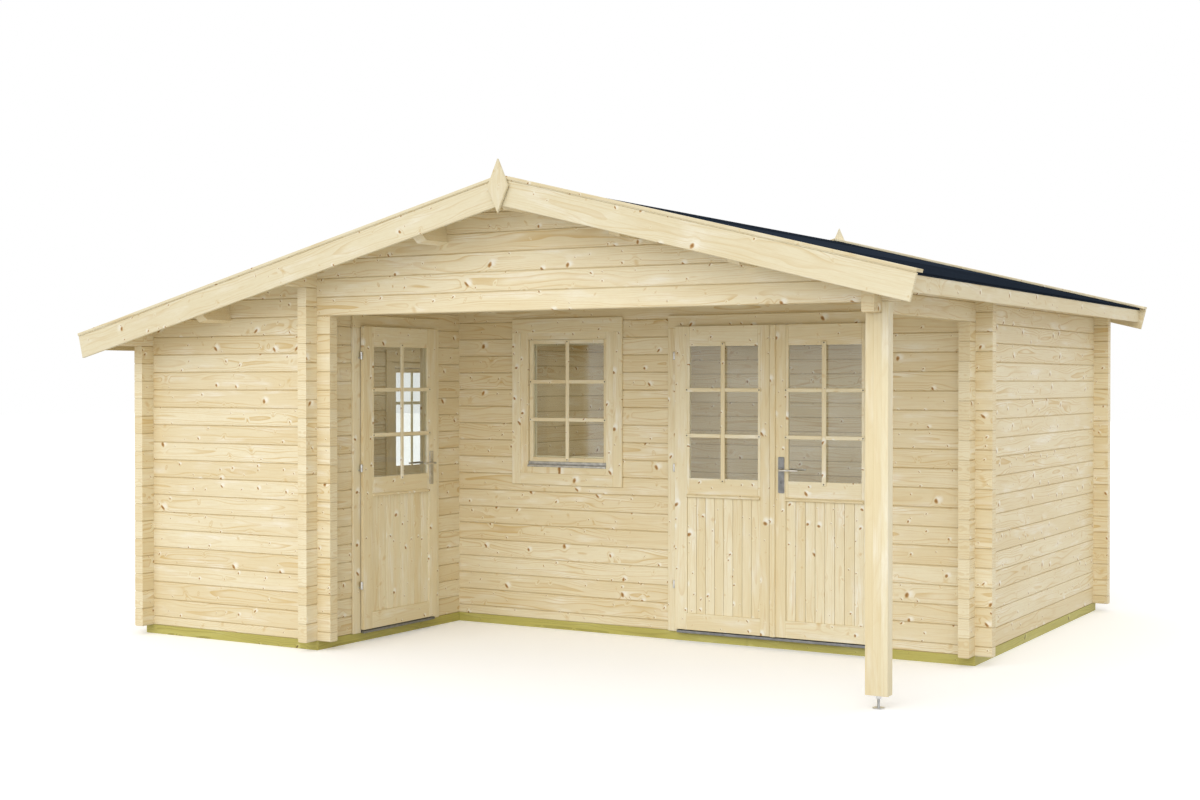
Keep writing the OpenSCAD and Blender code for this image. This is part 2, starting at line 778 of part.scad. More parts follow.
module threshold(half) {
    inner = half - frame_in;
    block([-inner, -trim_t - sill_out, wall_z], [inner, log_t, wall_z + sill_t]);
}
module thresholds() {
    color(steel) house() {
        at_side_door() threshold(side_half);
        at_double_door() threshold(double_half);
    }
}
module hinge_pins() {
    color(steel) house() {
        at_side_door() frame_hinges(-side_half, 1);
        at_double_door() {
            frame_hinges(-double_half, 1);
            frame_hinges(double_half, -1);
        }
    }
}

// Windows, seen from outside: x to the right, y into the house, z up from the opening's foot
window_h = window_courses * log_h;
sash_z1 = window_h - window_head;
module window_frame() {
    cover = window_cover / 2;
    clear = cover - window_trim;
    color(planed) difference() {
        union() {
            block([-window_half, frame_back - trim_t, 0], [window_half, log_t + trim_t, window_h]);
            difference() {
                union() for (y = [-trim_t, log_t])
                    block([-cover, y, -trim_under], [cover, y + trim_t, window_h + trim_over]);
                block(
                    [-clear, -trim_t - cut, window_foot / 5],
                    [clear, 0, window_h + trim_over - window_top_trim]);
            }
        }
        block([-sash_half, -trim_t - cut, window_foot], [sash_half, log_t + trim_t + cut, sash_z1]);
    }
}
module window_sash() {
    y = sash_back - trim_t;
    color(planed) difference() {
        block([-sash_half, y, window_foot], [sash_half, y + sash_t, sash_z1]);
        block(
            [sash_w - sash_half, y - cut, window_foot + sash_foot],
            [sash_half - sash_w, y + sash_t + cut, sash_z1 - sash_w]);
    }
}
module window_glass() {
    y = sash_back - trim_t + (sash_t - glass_t) / 2;
    color(pane) block(
        [sash_w - sash_half, y, window_foot + sash_foot],
        [sash_half - sash_w, y + glass_t, sash_z1 - sash_w]);
}
module window_drip() {
    y = sash_back - trim_t;
    color(steel) translate([-sash_half, 0, window_foot]) rotate([90, 0, 90]) linear_extrude(2 * sash_half)
        polygon([[y, 0], [y, drip_h], [y - drip_out, drip_h / 3], [y - drip_out, 0]]);
}
module main_window_frame() { house() at_main_window() window_frame(); }
module main_window_sash() { house() at_main_window() window_sash(); }
module main_window_glass() { house() at_main_window() window_glass(); }
module main_window_drip() { house() at_main_window() window_drip(); }
module side_window_frame() { house() at_side_window() window_frame(); }
module side_window_sash() { house() at_side_window() window_sash(); }
module side_window_glass() { house() at_side_window() window_glass(); }
module side_window_drip() { house() at_side_window() window_drip(); }

ground_bearers();
cross_bearers();
small_room_floor();
main_room_floor();
front_wall();
front_gable();
left_wall_lower();
left_wall_beside_window();
left_wall_plate();
porch_wall_front();
partition_wall();
porch_wall_upper();
main_wall_under_window();
main_wall_beside_window();
main_wall_right();
main_wall_over();
right_wall();
side_beam();
back_wall();
purlins();
roof_boards_left();
roof_boards_right();
roof_felt_left();
roof_felt_right();
front_bargeboards();
back_bargeboards();
front_caps();
back_caps();
eave_fascias();
finials();
porch_post();
post_foot();
side_door_frame();
side_door_leaf();
side_door_glass();
side_door_fittings();
side_door_lever();
double_door_frame();
left_leaf();
left_leaf_glass();
left_leaf_hinges();
right_leaf();
right_leaf_glass();
right_leaf_fittings();
double_door_lever();
thresholds();
hinge_pins();
main_window_frame();
main_window_sash();
main_window_glass();
main_window_drip();
side_window_frame();
side_window_sash();
side_window_glass();
side_window_drip();
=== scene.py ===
import math
import random

import bmesh
import bpy
from mathutils import Matrix, Vector


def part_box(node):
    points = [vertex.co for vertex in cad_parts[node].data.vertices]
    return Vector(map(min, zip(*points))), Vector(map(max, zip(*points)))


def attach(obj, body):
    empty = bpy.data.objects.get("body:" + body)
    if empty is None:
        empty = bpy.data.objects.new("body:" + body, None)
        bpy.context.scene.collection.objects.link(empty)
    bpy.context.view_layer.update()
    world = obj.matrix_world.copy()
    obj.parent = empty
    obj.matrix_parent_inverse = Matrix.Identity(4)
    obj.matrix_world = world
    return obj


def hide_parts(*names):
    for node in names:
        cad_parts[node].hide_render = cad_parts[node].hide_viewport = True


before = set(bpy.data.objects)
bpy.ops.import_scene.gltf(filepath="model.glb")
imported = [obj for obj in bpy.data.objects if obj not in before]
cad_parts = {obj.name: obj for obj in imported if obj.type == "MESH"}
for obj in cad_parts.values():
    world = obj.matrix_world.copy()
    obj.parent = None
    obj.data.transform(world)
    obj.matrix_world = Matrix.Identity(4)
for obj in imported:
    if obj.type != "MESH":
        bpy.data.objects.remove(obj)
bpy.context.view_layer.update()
rng = random.Random(11)

# Sizes in metres: the part's own, and those of the detail added here. Places come from the frame.
LOG_H = 0.114
LOG_T = 0.068
TRIM_T = 0.018
EDGE = 0.0015
FLOOR_BOARD = 0.096
ROOF_BOARDS = 50
PITCH = math.radians(14)
LEAN = math.tan(PITCH)
ROOF_COS = math.cos(PITCH)
BOARD_T = 0.019
FELT_T = 0.004
BARGE_H = 0.143
CAP_T = 0.017
LEAF_FACE = -0.049
LEAF_BACK = -0.024
CORE_BACK = 0.0
LEAF_LIP = 0.014
BEAD = 0.017
BOTTOM_RAIL = 0.110
LOCK_RAIL = 0.101
PANEL_RECESS = 0.008
PANEL_BOARDS = 8
PANEL_JOINT = 0.0018
LEDGE_H = 0.020
LEDGE_OUT = 0.018
BAR_T = 0.010
BAR_LAP = 0.024
BAR_H = 0.024
LEAF_BAR = 0.028
SASH_BAR = 0.026
FRAME_IN = 0.008
JAMB_OUT = 0.036
FOOT_GAP = 0.005
MEETING_W = 0.034
MEETING_OUT = 0.015
SCREW = 0.0042
PLATE_T = 0.006
LEVER_R = 0.008
BARREL = 0.009
HINGE_OUT = 0.010
HINGE_H = 0.026
HINGE_MIDDLE = 1.029
PIN = 0.0045
HERE = Matrix.Identity(4)


# Mesh building
def box_parts(low, high, chamfer):
    """Points and faces of a box with chamfered edges, and the axis each of its six sides faces."""
    points = []
    for corner in range(8):
        sign = [(corner >> axis) & 1 for axis in range(3)]
        for side in range(3):
            point = []
            for axis in range(3):
                inset = 0.0 if axis == side else chamfer
                point.append(high[axis] - inset if sign[axis] else low[axis] + inset)
            points.append(point)
    faces = []
    sides = []
    for a in range(3):
        b = (a + 1) % 3
        c = (a + 2) % 3
        for s in (0, 1):
            ring = [(0, 0), (1, 0), (1, 1), (0, 1)]
            faces.append([3 * ((s << a) | (u << b) | (v << c)) + a for u, v in ring])
            sides.append(a)
        for s in (0, 1):
            for t in (0, 1):
                near = (s << b) | (t << c)
                far = near | (1 << a)
                faces.append([3 * near + b, 3 * far + b, 3 * far + c, 3 * near + c])
                sides.append(None)
    for corner in range(8):
        faces.append([3 * corner, 3 * corner + 1, 3 * corner + 2])
        sides.append(None)
    return points, faces, sides


def inset_outline(outline, amount):
    """The outline with every edge moved inward."""
    count = len(outline)
    area = sum(
        outline[i][0] * outline[(i + 1) % count][1] - outline[(i + 1) % count][0] * outline[i][1]
        for i in range(count)
    )
    turn = 1.0 if area > 0 else -1.0
    moved = []
    for i in range(count):
        here = Vector(outline[i])
        first = (here - Vector(outline[i - 1])).normalized()
        second = (Vector(outline[(i + 1) % count]) - here).normalized()
        n0 = Vector((-first.y, first.x)) * turn
        n1 = Vector((-second.y, second.x)) * turn
        moved.append(here + (n0 + n1) * (amount / max(0.2, 1.0 + n0.dot(n1))))
    return [tuple(p) for p in moved]


class Build:
    """One mesh in the making. Each point of a board has its place in the wood and the board's seed."""

    def __init__(self):
        self.points = []
        self.faces = []
        self.slots = []
        self.grain = []
        self.seeds = []
        self.smooth = []

    def add(self, points, faces, slots, grain=None, seed=0.0, smooth=False):
        start = len(self.points)
        self.points.extend(tuple(p) for p in points)
        self.faces.extend([start + i for i in face] for face in faces)
        self.slots.extend(slots)
        self.grain.extend(grain or [(0.0, 0.0, 0.0)] * len(points))
        self.seeds.extend([seed] * len(points))
        self.smooth.extend([smooth] * len(faces))

    def board(self, low, high, along, place, chamfer=EDGE):
        """A chamfered board; along is the axis its grain follows. Its ends take the second material."""
        size = [h - l for l, h in zip(low, high)]
        order = [along] + sorted((a for a in range(3) if a != along), key=lambda a: -size[a])
        middle = [(l + h) / 2 for l, h in zip(low, high)]
        shift = (rng.uniform(0, 90), 0.0, rng.uniform(0, 90))
        points, faces, sides = box_parts(low, high, chamfer)
        grain = [tuple(p[a] - middle[a] + s for a, s in zip(order, shift)) for p in points]
        slots = [1 if side == along else 0 for side in sides]
        self.add([place @ Vector(p) for p in points], faces, slots, grain, rng.random())

    def row(self, low, high, count, across, along, place, chamfer, joint=0.0):
        """Boards side by side along the axis across, with an open joint between them."""
        step = (high[across] - low[across]) / count
        for i in range(count):
            start = low[across] + i * step
            near, far = list(low), list(high)
            near[across] = start + joint / 2
            far[across] = start + step - joint / 2
            self.board(near, far, along, place, chamfer)

    def prism(self, outline, start, end, order, place, chamfer, lengthwise=False, slot=0, ends=True):
        """An outline in the first two axes of order, drawn out along the third.
        The grain follows the outline's first axis, or the third where it is lengthwise."""
        small = inset_outline(outline, chamfer)
        rings = [(small, start), (outline, start + chamfer), (outline, end - chamfer), (small, end)]
        flat = [(u, v, w) for ring, w in rings for u, v in ring]
        count = len(outline)
        faces = [list(range(count)), list(range(3 * count, 4 * count))]
        cap = slot + 1 if lengthwise and ends else slot
        slots = [cap, cap]
        for i in range(count):
            j = (i + 1) % count
            run = Vector(outline[j]) - Vector(outline[i])
            crosswise = abs(run.x) < 0.3 * run.length and not lengthwise and ends
            for k in range(3):
                faces.append([k * count + i, k * count + j, (k + 1) * count + j, (k + 1) * count + i])
                slots.append(slot + 1 if crosswise else slot)
        shift = (rng.uniform(0, 90), 0.0, rng.uniform(0, 90))
        spans = [(min(column), max(column)) for column in zip(*outline)]
        mid = [(low + high) / 2 for low, high in spans]
        size = [high - low for low, high in spans]
        points = []
        grain = []
        for u, v, w in flat:
            point = Vector()
            for axis, value in zip(order, (u, v, w)):
                point[axis] = value
            points.append(place @ point)
            if lengthwise:
                pair = (u - mid[0], v - mid[1])
                wood = (w, *pair) if size[0] > size[1] else (w, pair[1], pair[0])
            else:
                wood = (u, v - mid[1], w)
            grain.append(tuple(a + s for a, s in zip(wood, shift)))
        self.add(points, faces, slots, grain, rng.random())

    def tube(self, rings, place, slot=0):
        """A closed skin over rings of points that follow one another."""
        sides = len(rings[0])
        faces = []
        for k in range(len(rings) - 1):
            for i in range(sides):
                j = (i + 1) % sides
                faces.append([k * sides + i, k * sides + j, (k + 1) * sides + j, (k + 1) * sides + i])
        last = (len(rings) - 1) * sides
        faces.append(list(range(sides)))
        faces.append(list(range(last, last + sides)))
        points = [place @ point for ring in rings for point in ring]
        self.add(points, faces, [slot] * len(faces), smooth=True)

    def lathe(self, profile, place, sides=32, slot=0):
        """A turned shape about the local Z axis; profile is (radius, height) from one end to the other."""
        turns = [2 * math.pi * i / sides for i in range(sides)]
        rings = [[Vector((r * math.cos(a), r * math.sin(a), z)) for a in turns] for r, z in profile]
        self.tube(rings, place, slot)

    def sweep(self, path, radii, place, sides=16):
        """A bar of oval section along a path that stays in one plane of constant Z."""
        turns = [2 * math.pi * i / sides for i in range(sides)]
        rings = []
        for i, here in enumerate(path):
            ahead = path[min(i + 1, len(path) - 1)] - path[max(i - 1, 0)]
            side = Vector((-ahead.y, ahead.x, 0.0)).normalized()
            wide, high = radii[i]
            up = Vector((0.0, 0.0, high))
            rings.append([here + side * wide * math.cos(a) + up * math.sin(a) for a in turns])
        self.tube(rings, place)

    def finish(self, name, materials, body, slot, *replaced):
        """Makes the object, puts it on its body and hides the nodes it stands for."""
        mesh = bpy.data.meshes.new(name)
        mesh.from_pydata(self.points, [], self.faces)
        mesh.polygons.foreach_set("material_index", self.slots)
        mesh.polygons.foreach_set("use_smooth", self.smooth)
        work = bmesh.new()
        work.from_mesh(mesh)
        bmesh.ops.recalc_face_normals(work, faces=work.faces)
        work.to_mesh(mesh)
        work.free()
        grain = mesh.attributes.new("grain", "FLOAT_VECTOR", "POINT")
        grain.data.foreach_set("vector", [c for g in self.grain for c in g])
        seeds = mesh.attributes.new("seed", "FLOAT", "POINT")
        seeds.data.foreach_set("value", self.seeds)
        for material in materials:
            mesh.materials.append(material)
        mesh.set_sharp_from_angle(angle=math.radians(35))
        piece = bpy.data.objects.new(name, mesh)
        bpy.context.collection.objects.link(piece)
        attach(piece, body)
        if replaced:
            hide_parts(*replaced)


# Shader building
class Shader:
    """The node tree of a material or of the world, with short calls for its nodes."""

    def __init__(self, owner):
        owner.use_nodes = True
        self.owner = owner
        self.tree = owner.node_tree
        self.tree.nodes.clear()

    def put(self, socket, value):
        if isinstance(value, bpy.types.NodeSocket):
            self.tree.links.new(value, socket)
        else:
            socket.default_value = value

    def node(self, kind, inputs, **settings):
        made = self.tree.nodes.new(kind)
        for key, value in settings.items():
            setattr(made, key, value)
        for key, value in inputs.items():
            self.put(made.inputs[key], value)
        return made

    def math(self, operation, *values):
        made = self.node("ShaderNodeMath", dict(enumerate(values)), operation=operation)
        return made.outputs[0]

    def times(self, a, b):
        return self.math("MULTIPLY", a, b)

    def scaled(self, value, factor, offset):
        return self.math("MULTIPLY_ADD", value, factor, offset)

    def vector(self, operation, *values):
        made = self.node("ShaderNodeVectorMath", dict(enumerate(values)), operation=operation)
        return made.outputs["Value" if operation == "LENGTH" else "Vector"]

    def split(self, vector):
        return self.node("ShaderNodeSeparateXYZ", {0: vector}).outputs

    def join(self, x, y, z):
        return self.node("ShaderNodeCombineXYZ", {0: x, 1: y, 2: z}).outputs[0]

    def step(self, value, zero, one, low=0.0, high=1.0):
        """Smooth step: low where value is at zero, high where it is at one."""
        made = self.node(
            "ShaderNodeMapRange",
            {"Value": value, "From Min": zero, "From Max": one, "To Min": low, "To Max": high},
            interpolation_type="SMOOTHSTEP",
        )
        return made.outputs["Result"]

    def noise(self, place, scale, detail=2.0, output=0):
        inputs = {"Vector": place, "Scale": scale, "Detail": detail}
        return self.node("ShaderNodeTexNoise", inputs).outputs[output]

    def stretched(self, place, stretch, output=0):
        """Noise with its own number of waves in a metre along each axis."""
        return self.noise(self.vector("MULTIPLY", place, stretch), 1.0, output=output)

    def blend(self, factor, a, b, kind="MIX"):
        made = self.node("ShaderNodeMix", {0: factor, 6: a, 7: b}, data_type="RGBA", blend_type=kind)
        return made.outputs[2]

    def layers(self, colour, *coats):
        """The colour under coats of other colours, each with its factor."""
        for factor, tint in coats:
            colour = self.blend(factor, colour, tint)
        return colour

    def attribute(self, name):
        return self.node("ShaderNodeAttribute", {}, attribute_name=name)

    def board_place(self):
        """The place in a board's wood, and the board's seed."""
        return self.attribute("grain").outputs["Vector"], self.attribute("seed").outputs["Fac"]

    def object_place(self):
        return self.node("ShaderNodeTexCoord", {}).outputs["Object"]

    def surface(self, inputs, height=None, distance=0.001, strength=1.0):
        """The Principled shader with its inputs, with a bump from height."""
        shader = self.node("ShaderNodeBsdfPrincipled", inputs)
        if height is not None:
            relief = {"Height": height, "Distance": distance, "Strength": strength}
            self.put(shader.inputs["Normal"], self.node("ShaderNodeBump", relief).outputs[0])
        self.node("ShaderNodeOutputMaterial", {"Surface": shader.outputs[0]})


def new_material(name):
    return Shader(bpy.data.materials.new(name))


def rgb(red, green, blue):
    """A shader colour from sRGB values of 0 to 255."""
    linear = []
    for value in (red, green, blue):
        v = value / 255
        linear.append(v / 12.92 if v <= 0.04045 else ((v + 0.055) / 1.055) ** 2.4)
    return (*linear, 1.0)


# Wood
class Palette:
    """Colours of one kind of wood, given as sRGB values."""

    def __init__(self, light, dark, pale, line, knot, heart):
        self.light = rgb(*light)
        self.dark = rgb(*dark)
        self.pale = rgb(*pale)
        self.line = rgb(*line)
        self.knot = rgb(*knot)
        self.heart = rgb(*heart)


SPRUCE = Palette(
    (239, 228, 196), (230, 214, 175), (251, 247, 234), (209, 176, 109), (186, 138, 54), (138, 92, 26)
)
PLANED = Palette(
    (241, 231, 200), (232, 217, 178), (251, 249, 239), (213, 181, 118), (186, 139, 56), (138, 92, 28)
)
EDGE_BOARD = Palette(
    (227, 217, 186), (218, 203, 165), (239, 234, 217), (201, 171, 111), (180, 132, 54), (136, 88, 26)
)
LAMELLA = Palette(
    (234, 224, 192), (226, 210, 170), (244, 239, 222), (206, 175, 112), (188, 140, 60), (132, 86, 20)
)
TREATED = Palette(
    (196, 188, 104), (182, 172, 88), (210, 204, 134), (150, 138, 62), (124, 100, 44), (90, 68, 30)
)


def knot_layer(s, flat, cell, small, large, share, halo):
    """Knots scattered in the plane of a board: the knot, its heart, the pale halo beside it, a blurred
    smear where one lies under the surface, and its pull on the grain."""
    cells = s.node(
        "ShaderNodeTexVoronoi",
        {"Vector": flat, "Scale": 1.0 / cell, "Randomness": 0.85},
        voronoi_dimensions="2D",
    )
    chance = s.node("ShaderNodeSeparateColor", {0: cells.outputs["Color"]}).outputs
    there = s.math("LESS_THAN", chance[0], share)
    under = s.math("SUBTRACT", s.math("LESS_THAN", chance[0], share * 1.8), there)
    size = s.times(chance[1], chance[1])
    radius = s.scaled(size, large - small, small)
    dx, dy, _ = s.split(s.vector("SUBTRACT", flat, cells.outputs["Position"]))
    skew = s.scaled(chance[2], 1.5, -0.75)
    slant = s.math("SUBTRACT", dx, s.times(skew, dy))
    oval = s.join(s.times(slant, 1.15), s.times(dy, 0.88), 0.0)
    reach = s.math("DIVIDE", s.vector("LENGTH", oval), radius)
    knot = s.times(s.step(reach, 1.45, 0.7), there)
    heart = s.times(s.step(reach, 1.0, 0.2), there)
    right = s.times(s.math("SUBTRACT", dx, s.times(radius, 1.2)), 0.62)
    above = s.times(s.math("SUBTRACT", dy, s.times(radius, 0.8)), 0.72)
    side = s.math("DIVIDE", s.vector("LENGTH", s.join(right, above, 0.0)), radius)
    pale = s.times(s.step(side, 1.9, 0.3, 0.0, halo), there)
    smear = s.times(s.step(reach, 2.2, 0.3), under)
    pull = s.times(s.step(reach, 5.0, 0.5), s.math("ADD", there, under))
    return knot, heart, pale, smear, pull


def wood_figure(s, place, seed, palette, share, tone_spread=0.4, lines=0.72):
    """Colour, height and roughness of wood at a place in metres: along, across from the middle, through."""
    along, across, _ = s.split(place)
    wobble = s.vector("SUBTRACT", s.noise(place, 40.0, 1.0, "Color"), (0.5, 0.5, 0.5))
    wobble = s.vector("MULTIPLY", wobble, (0.010, 0.008, 0.0))
    flat = s.vector("ADD", s.join(along, s.scaled(seed, 61.0, across), 0.0), wobble)
    drift = s.stretched(place, (1.1, 5.0, 5.0), "Color")
    slow = s.node("ShaderNodeSeparateColor", {0: drift}).outputs
    fibre = s.stretched(place, (5.0, 210.0, 210.0))
    blotch = s.stretched(place, (3.2, 17.0, 17.0))
    # Growth rings cut lengthwise: arches that open along the middle and draw close at the edges
    heart_line = s.scaled(slow[0], 0.16, -0.08)
    off = s.math("ADD", across, heart_line)
    ring = s.times(s.times(off, off), 900.0)
    ring = s.scaled(slow[1], 5.0, ring)
    if share > 0:
        knots = knot_layer(s, flat, 0.175, 0.0052, 0.0135, share, 1.0)
        pins = knot_layer(s, flat, 0.105, 0.0026, 0.0054, share * 0.7, 0.7)
        knot, heart, pale, smear, pull = (s.math("MAXIMUM", a, b) for a, b in zip(knots, pins))
        ring = s.scaled(pull, 0.9, ring)
    part = s.math("FRACT", ring)
    line = s.times(s.step(part, 0.60, 0.94), s.step(part, 1.0, 0.95))
    line = s.times(line, s.step(slow[2], 0.34, 0.66, 0.15, 1.0))
    tone = s.scaled(s.math("SUBTRACT", seed, 0.5), tone_spread, slow[1])
    mottle = s.stretched(place, (26.0, 105.0, 105.0))
    colour = s.layers(
        palette.light,
        (s.step(tone, 0.22, 0.78), palette.dark),
        (s.step(blotch, 0.50, 0.78, 0.0, 0.55), palette.pale),
        (s.step(fibre, 0.44, 0.76, 0.0, 0.26), palette.line),
        (s.step(mottle, 0.40, 0.72, 0.0, 0.30), palette.dark),
        (s.times(line, lines), palette.line),
    )
    if share > 0:
        colour = s.layers(
            colour,
            (s.times(smear, 0.50), palette.line),
            (s.times(pale, 0.78), palette.pale),
            (s.times(knot, 0.85), palette.knot),
            (s.times(heart, 0.85), palette.heart),
        )
    rough = s.step(fibre, 0.2, 0.8, 0.62, 0.48)
    return colour, fibre, rough


def end_figure(s, place, seed, palette):
    """Colour and height of sawn end grain: rings round a heart that lies off the middle."""
    across = s.split(place)[1]
    shift = s.scaled(seed, 0.06, -0.03)
    spot = s.join(s.math("SUBTRACT", across, shift), s.scaled(seed, 0.05, 0.02), 0.0)
    bend = s.times(s.noise(place, 22.0, 1.0), 0.012)
    ring = s.math("ADD", s.vector("LENGTH", spot), bend)
    wave = s.math("SINE", s.times(ring, 2 * math.pi / 0.0085))
    line = s.step(wave, 0.0, 1.0)
    pores = s.noise(place, 420.0, 1.0)
    tone = s.scaled(s.noise(place, 13.0, 1.0), 0.5, s.times(seed, 0.6))
    colour = s.layers(
        palette.light,
        (s.step(tone, 0.15, 0.85), palette.dark),
        (s.times(line, 0.34), palette.line),
        (s.step(pores, 0.55, 0.8, 0.0, 0.25), palette.line),
    )
    height = s.scaled(pores, 0.5, s.times(line, 0.4))
    return colour, height


def board_wood(name, palette, share, tone_spread=0.5, lines=0.46):
    """Wood of the boards built here, which carry their own grain and seed."""
    s = new_material(name)
    colour, height, rough = wood_figure(s, *s.board_place(), palette, share, tone_spread, lines)
    s.surface({"Base Color": colour, "Roughness": rough}, height, 0.0006, 0.6)
    return s.owner


def board_end(name, palette):
    s = new_material(name)
    colour, height = end_figure(s, *s.board_place(), palette)
    s.surface({"Base Color": colour, "Roughness": 0.72}, height, 0.0006, 0.6)
    return s.owner


def timber(name, palette, axis, share, first, course, key, groove=0.0):
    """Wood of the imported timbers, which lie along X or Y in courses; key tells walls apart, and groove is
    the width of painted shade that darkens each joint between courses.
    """
    s = new_material(name)
    object_space = s.node("ShaderNodeTexCoord", {}).outputs
    x, y, z = s.split(object_space["Object"])
    along, through = (x, y) if axis == 0 else (y, x)
    up = s.math("SUBTRACT", z, first)
    index = s.math("FLOOR", s.math("DIVIDE", up, course))
    within = s.scaled(index, -course, up)
    wall = s.math("FLOOR", s.math("DIVIDE", through, key))
    log = s.join(index, wall, float(axis))
    chance = s.node("ShaderNodeTexWhiteNoise", {"Vector": log}, noise_dimensions="3D")
    seed = chance.outputs["Value"]
    shift = s.vector("MULTIPLY", chance.outputs["Color"], (87.0, 0.0, 63.0))
    middle = s.math("SUBTRACT", within, course / 2)
    place = s.vector("ADD", s.join(along, middle, through), shift)
    colour, height, rough = wood_figure(s, place, seed, palette, share)
    end_colour, end_height = end_figure(s, place, seed, palette)
    normal = s.split(object_space["Normal"])
    end = s.step(s.math("ABSOLUTE", normal[axis]), 0.7, 0.8)
    colour = s.blend(end, colour, end_colour)
    height = s.math("ADD", height, s.times(end, s.math("SUBTRACT", end_height, height)))
    # Painted shade: the colour darkens towards each joint between courses, standing in for the shade inside
    # the V-groove.
    if groove:
        edge = s.math("MINIMUM", within, s.math("SUBTRACT", course, within))
        colour = s.blend(s.step(edge, groove, 0.0, 0.0, 0.5), colour, rgb(188, 172, 136), "MULTIPLY")
    s.surface({"Base Color": colour, "Roughness": rough}, height, 0.0007, 0.6)
    return s.owner


# Other materials
def felt_material():
    """Roofing felt with slate granules; each strip has its own shade."""
    s = new_material("roofing_felt")
    spot = s.object_place()
    grit = s.node("ShaderNodeTexVoronoi", {"Vector": spot, "Scale": 420.0})
    shade = s.node("ShaderNodeSeparateColor", {0: grit.outputs["Color"]}).outputs[0]
    cloud = s.noise(spot, 2.3, 3.0)
    seed = s.attribute("seed").outputs["Fac"]
    colour = s.layers(
        rgb(18, 24, 32),
        (shade, rgb(42, 50, 61)),
        (s.step(cloud, 0.35, 0.75, 0.0, 0.35), rgb(40, 47, 58)),
        (s.times(seed, 0.45), rgb(50, 59, 72)),
    )
    height = s.math("SUBTRACT", cloud, s.times(grit.outputs["Distance"], 0.6))
    rough = s.step(shade, 0.0, 1.0, 0.8, 0.98)
    s.surface({"Base Color": colour, "Roughness": rough, "Specular IOR Level": 0.0}, height, 0.0015, 0.7)
    return s.owner


def steel_material(name, tint, rough):
    """Brushed metal, dulled a little in patches."""
    s = new_material(name)
    spot = s.object_place()
    brush = s.stretched(spot, (40.0, 40.0, 900.0))
    cloud = s.noise(spot, 30.0, 2.0)
    darker = tuple(c * 0.72 for c in tint[:3]) + (1.0,)
    colour = s.blend(s.step(cloud, 0.3, 0.75), tint, darker)
    worn = s.scaled(brush, 0.16, rough)
    s.surface({"Base Color": colour, "Metallic": 1.0, "Roughness": worn}, brush, 0.0002, 0.4)
    return s.owner


def glass_material():
    """Clear panes that mirror their surroundings a little, more so where the film of dust is thicker."""
    s = new_material("window_glass")
    spot = s.object_place()
    film = s.noise(spot, 3.5, 4.0)
    mirror = s.node(
        "ShaderNodeBsdfPrincipled",
        {
            "Base Color": s.blend(film, rgb(236, 243, 244), rgb(246, 248, 247)),
            "Metallic": 1.0,
            "Roughness": s.step(film, 0.3, 0.8, 0.02, 0.10),
        },
    )
    clear = s.node("ShaderNodeBsdfTransparent", {"Color": (0.97, 0.985, 0.98, 1.0)})
    facing = s.node("ShaderNodeLayerWeight", {"Blend": 0.5}).outputs["Facing"]
    share = s.scaled(s.math("POWER", facing, 5.0), 0.9, s.step(film, 0.3, 0.8, 0.055, 0.085))
    mix = s.node("ShaderNodeMixShader", {0: share, 1: clear.outputs[0], 2: mirror.outputs[0]})
    s.node("ShaderNodeOutputMaterial", {"Surface": mix.outputs[0]})
    return s.owner


def keyhole_shade_material():
    """Painted shade: a near-black colour that stands for the shaded inside of a keyhole or screw slot."""
    s = new_material("keyhole_painted_shade")
    spot = s.object_place()
    cloud = s.noise(spot, 400.0, 2.0)
    s.surface({"Base Color": s.blend(cloud, rgb(22, 22, 22), rgb(52, 50, 47)), "Roughness": 0.7})
    return s.owner


# The last value given to the two wall materials is the width of painted shade along the log joints.
wall_x = timber("wall_logs_x", SPRUCE, 0, 0.45, 0.0, LOG_H, 0.5, 0.0045)
wall_y = timber("wall_logs_y", SPRUCE, 1, 0.45, LOG_H / 2, LOG_H, 0.7, 0.0045)
purlin_wood = timber("purlin_timber", SPRUCE, 1, 0.35, -5.0, 10.0, 0.3)
bearer_x = timber("treated_bearers_x", TREATED, 0, 0.3, -5.0, 10.0, 0.2)
bearer_y = timber("treated_bearers_y", TREATED, 1, 0.3, -5.0, 10.0, 0.3)
spruce_board = board_wood("spruce_boards", SPRUCE, 0.4)
spruce_end = board_end("spruce_board_ends", SPRUCE)
planed_board = board_wood("planed_boards", PLANED, 0.6, 0.5, 0.38)
planed_end = board_end("planed_board_ends", PLANED)
edge_board = board_wood("edge_boards", EDGE_BOARD, 0.36, 0.5, 0.42)
edge_end = board_end("edge_board_ends", EDGE_BOARD)
clear_board = board_wood("clear_lamellas", LAMELLA, 0.0, 0.8, 0.14)
felt = felt_material()
steel = steel_material("brushed_steel", rgb(140, 140, 139), 0.36)
pale_steel = steel_material("pale_steel", rgb(214, 212, 207), 0.30)
bright = steel_material("bright_zinc", rgb(222, 223, 224), 0.22)
dull = steel_material("drip_rail_metal", rgb(204, 204, 201), 0.46)
sill_metal = steel_material("threshold_metal", rgb(138, 139, 141), 0.42)
screw_metal = steel_material("screw_metal", rgb(72, 71, 69), 0.40)
glass = glass_material()
dark = keyhole_shade_material()
PLANED_PAIR = [planed_board, planed_end]
EDGE_PAIR = [edge_board, edge_end]
SPRUCE_PAIR = [spruce_board, spruce_end]


def paint(material, *names):
    for name in names:
        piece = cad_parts[name]
        piece.data.materials.clear()
        piece.data.materials.append(material)


paint(
    wall_x, "front_wall", "front_gable", "main_wall_under_window", "main_wall_beside_window",
    "main_wall_right", "main_wall_over", "back_wall",
)
paint(
    wall_y, "left_wall_lower", "left_wall_beside_window", "left_wall_plate", "porch_wall_front",
    "partition_wall", "porch_wall_upper", "right_wall", "side_beam",
)
paint(purlin_wood, "purlins")
paint(bearer_x, "cross_bearers")
paint(bearer_y, "ground_bearers")
paint(
    glass, "side_door_glass", "left_leaf_glass", "right_leaf_glass", "main_window_glass",
    "side_window_glass",
)


# Doors and windows
def turned(degrees, axis):
    return Matrix.Rotation(math.radians(degrees), 4, axis)


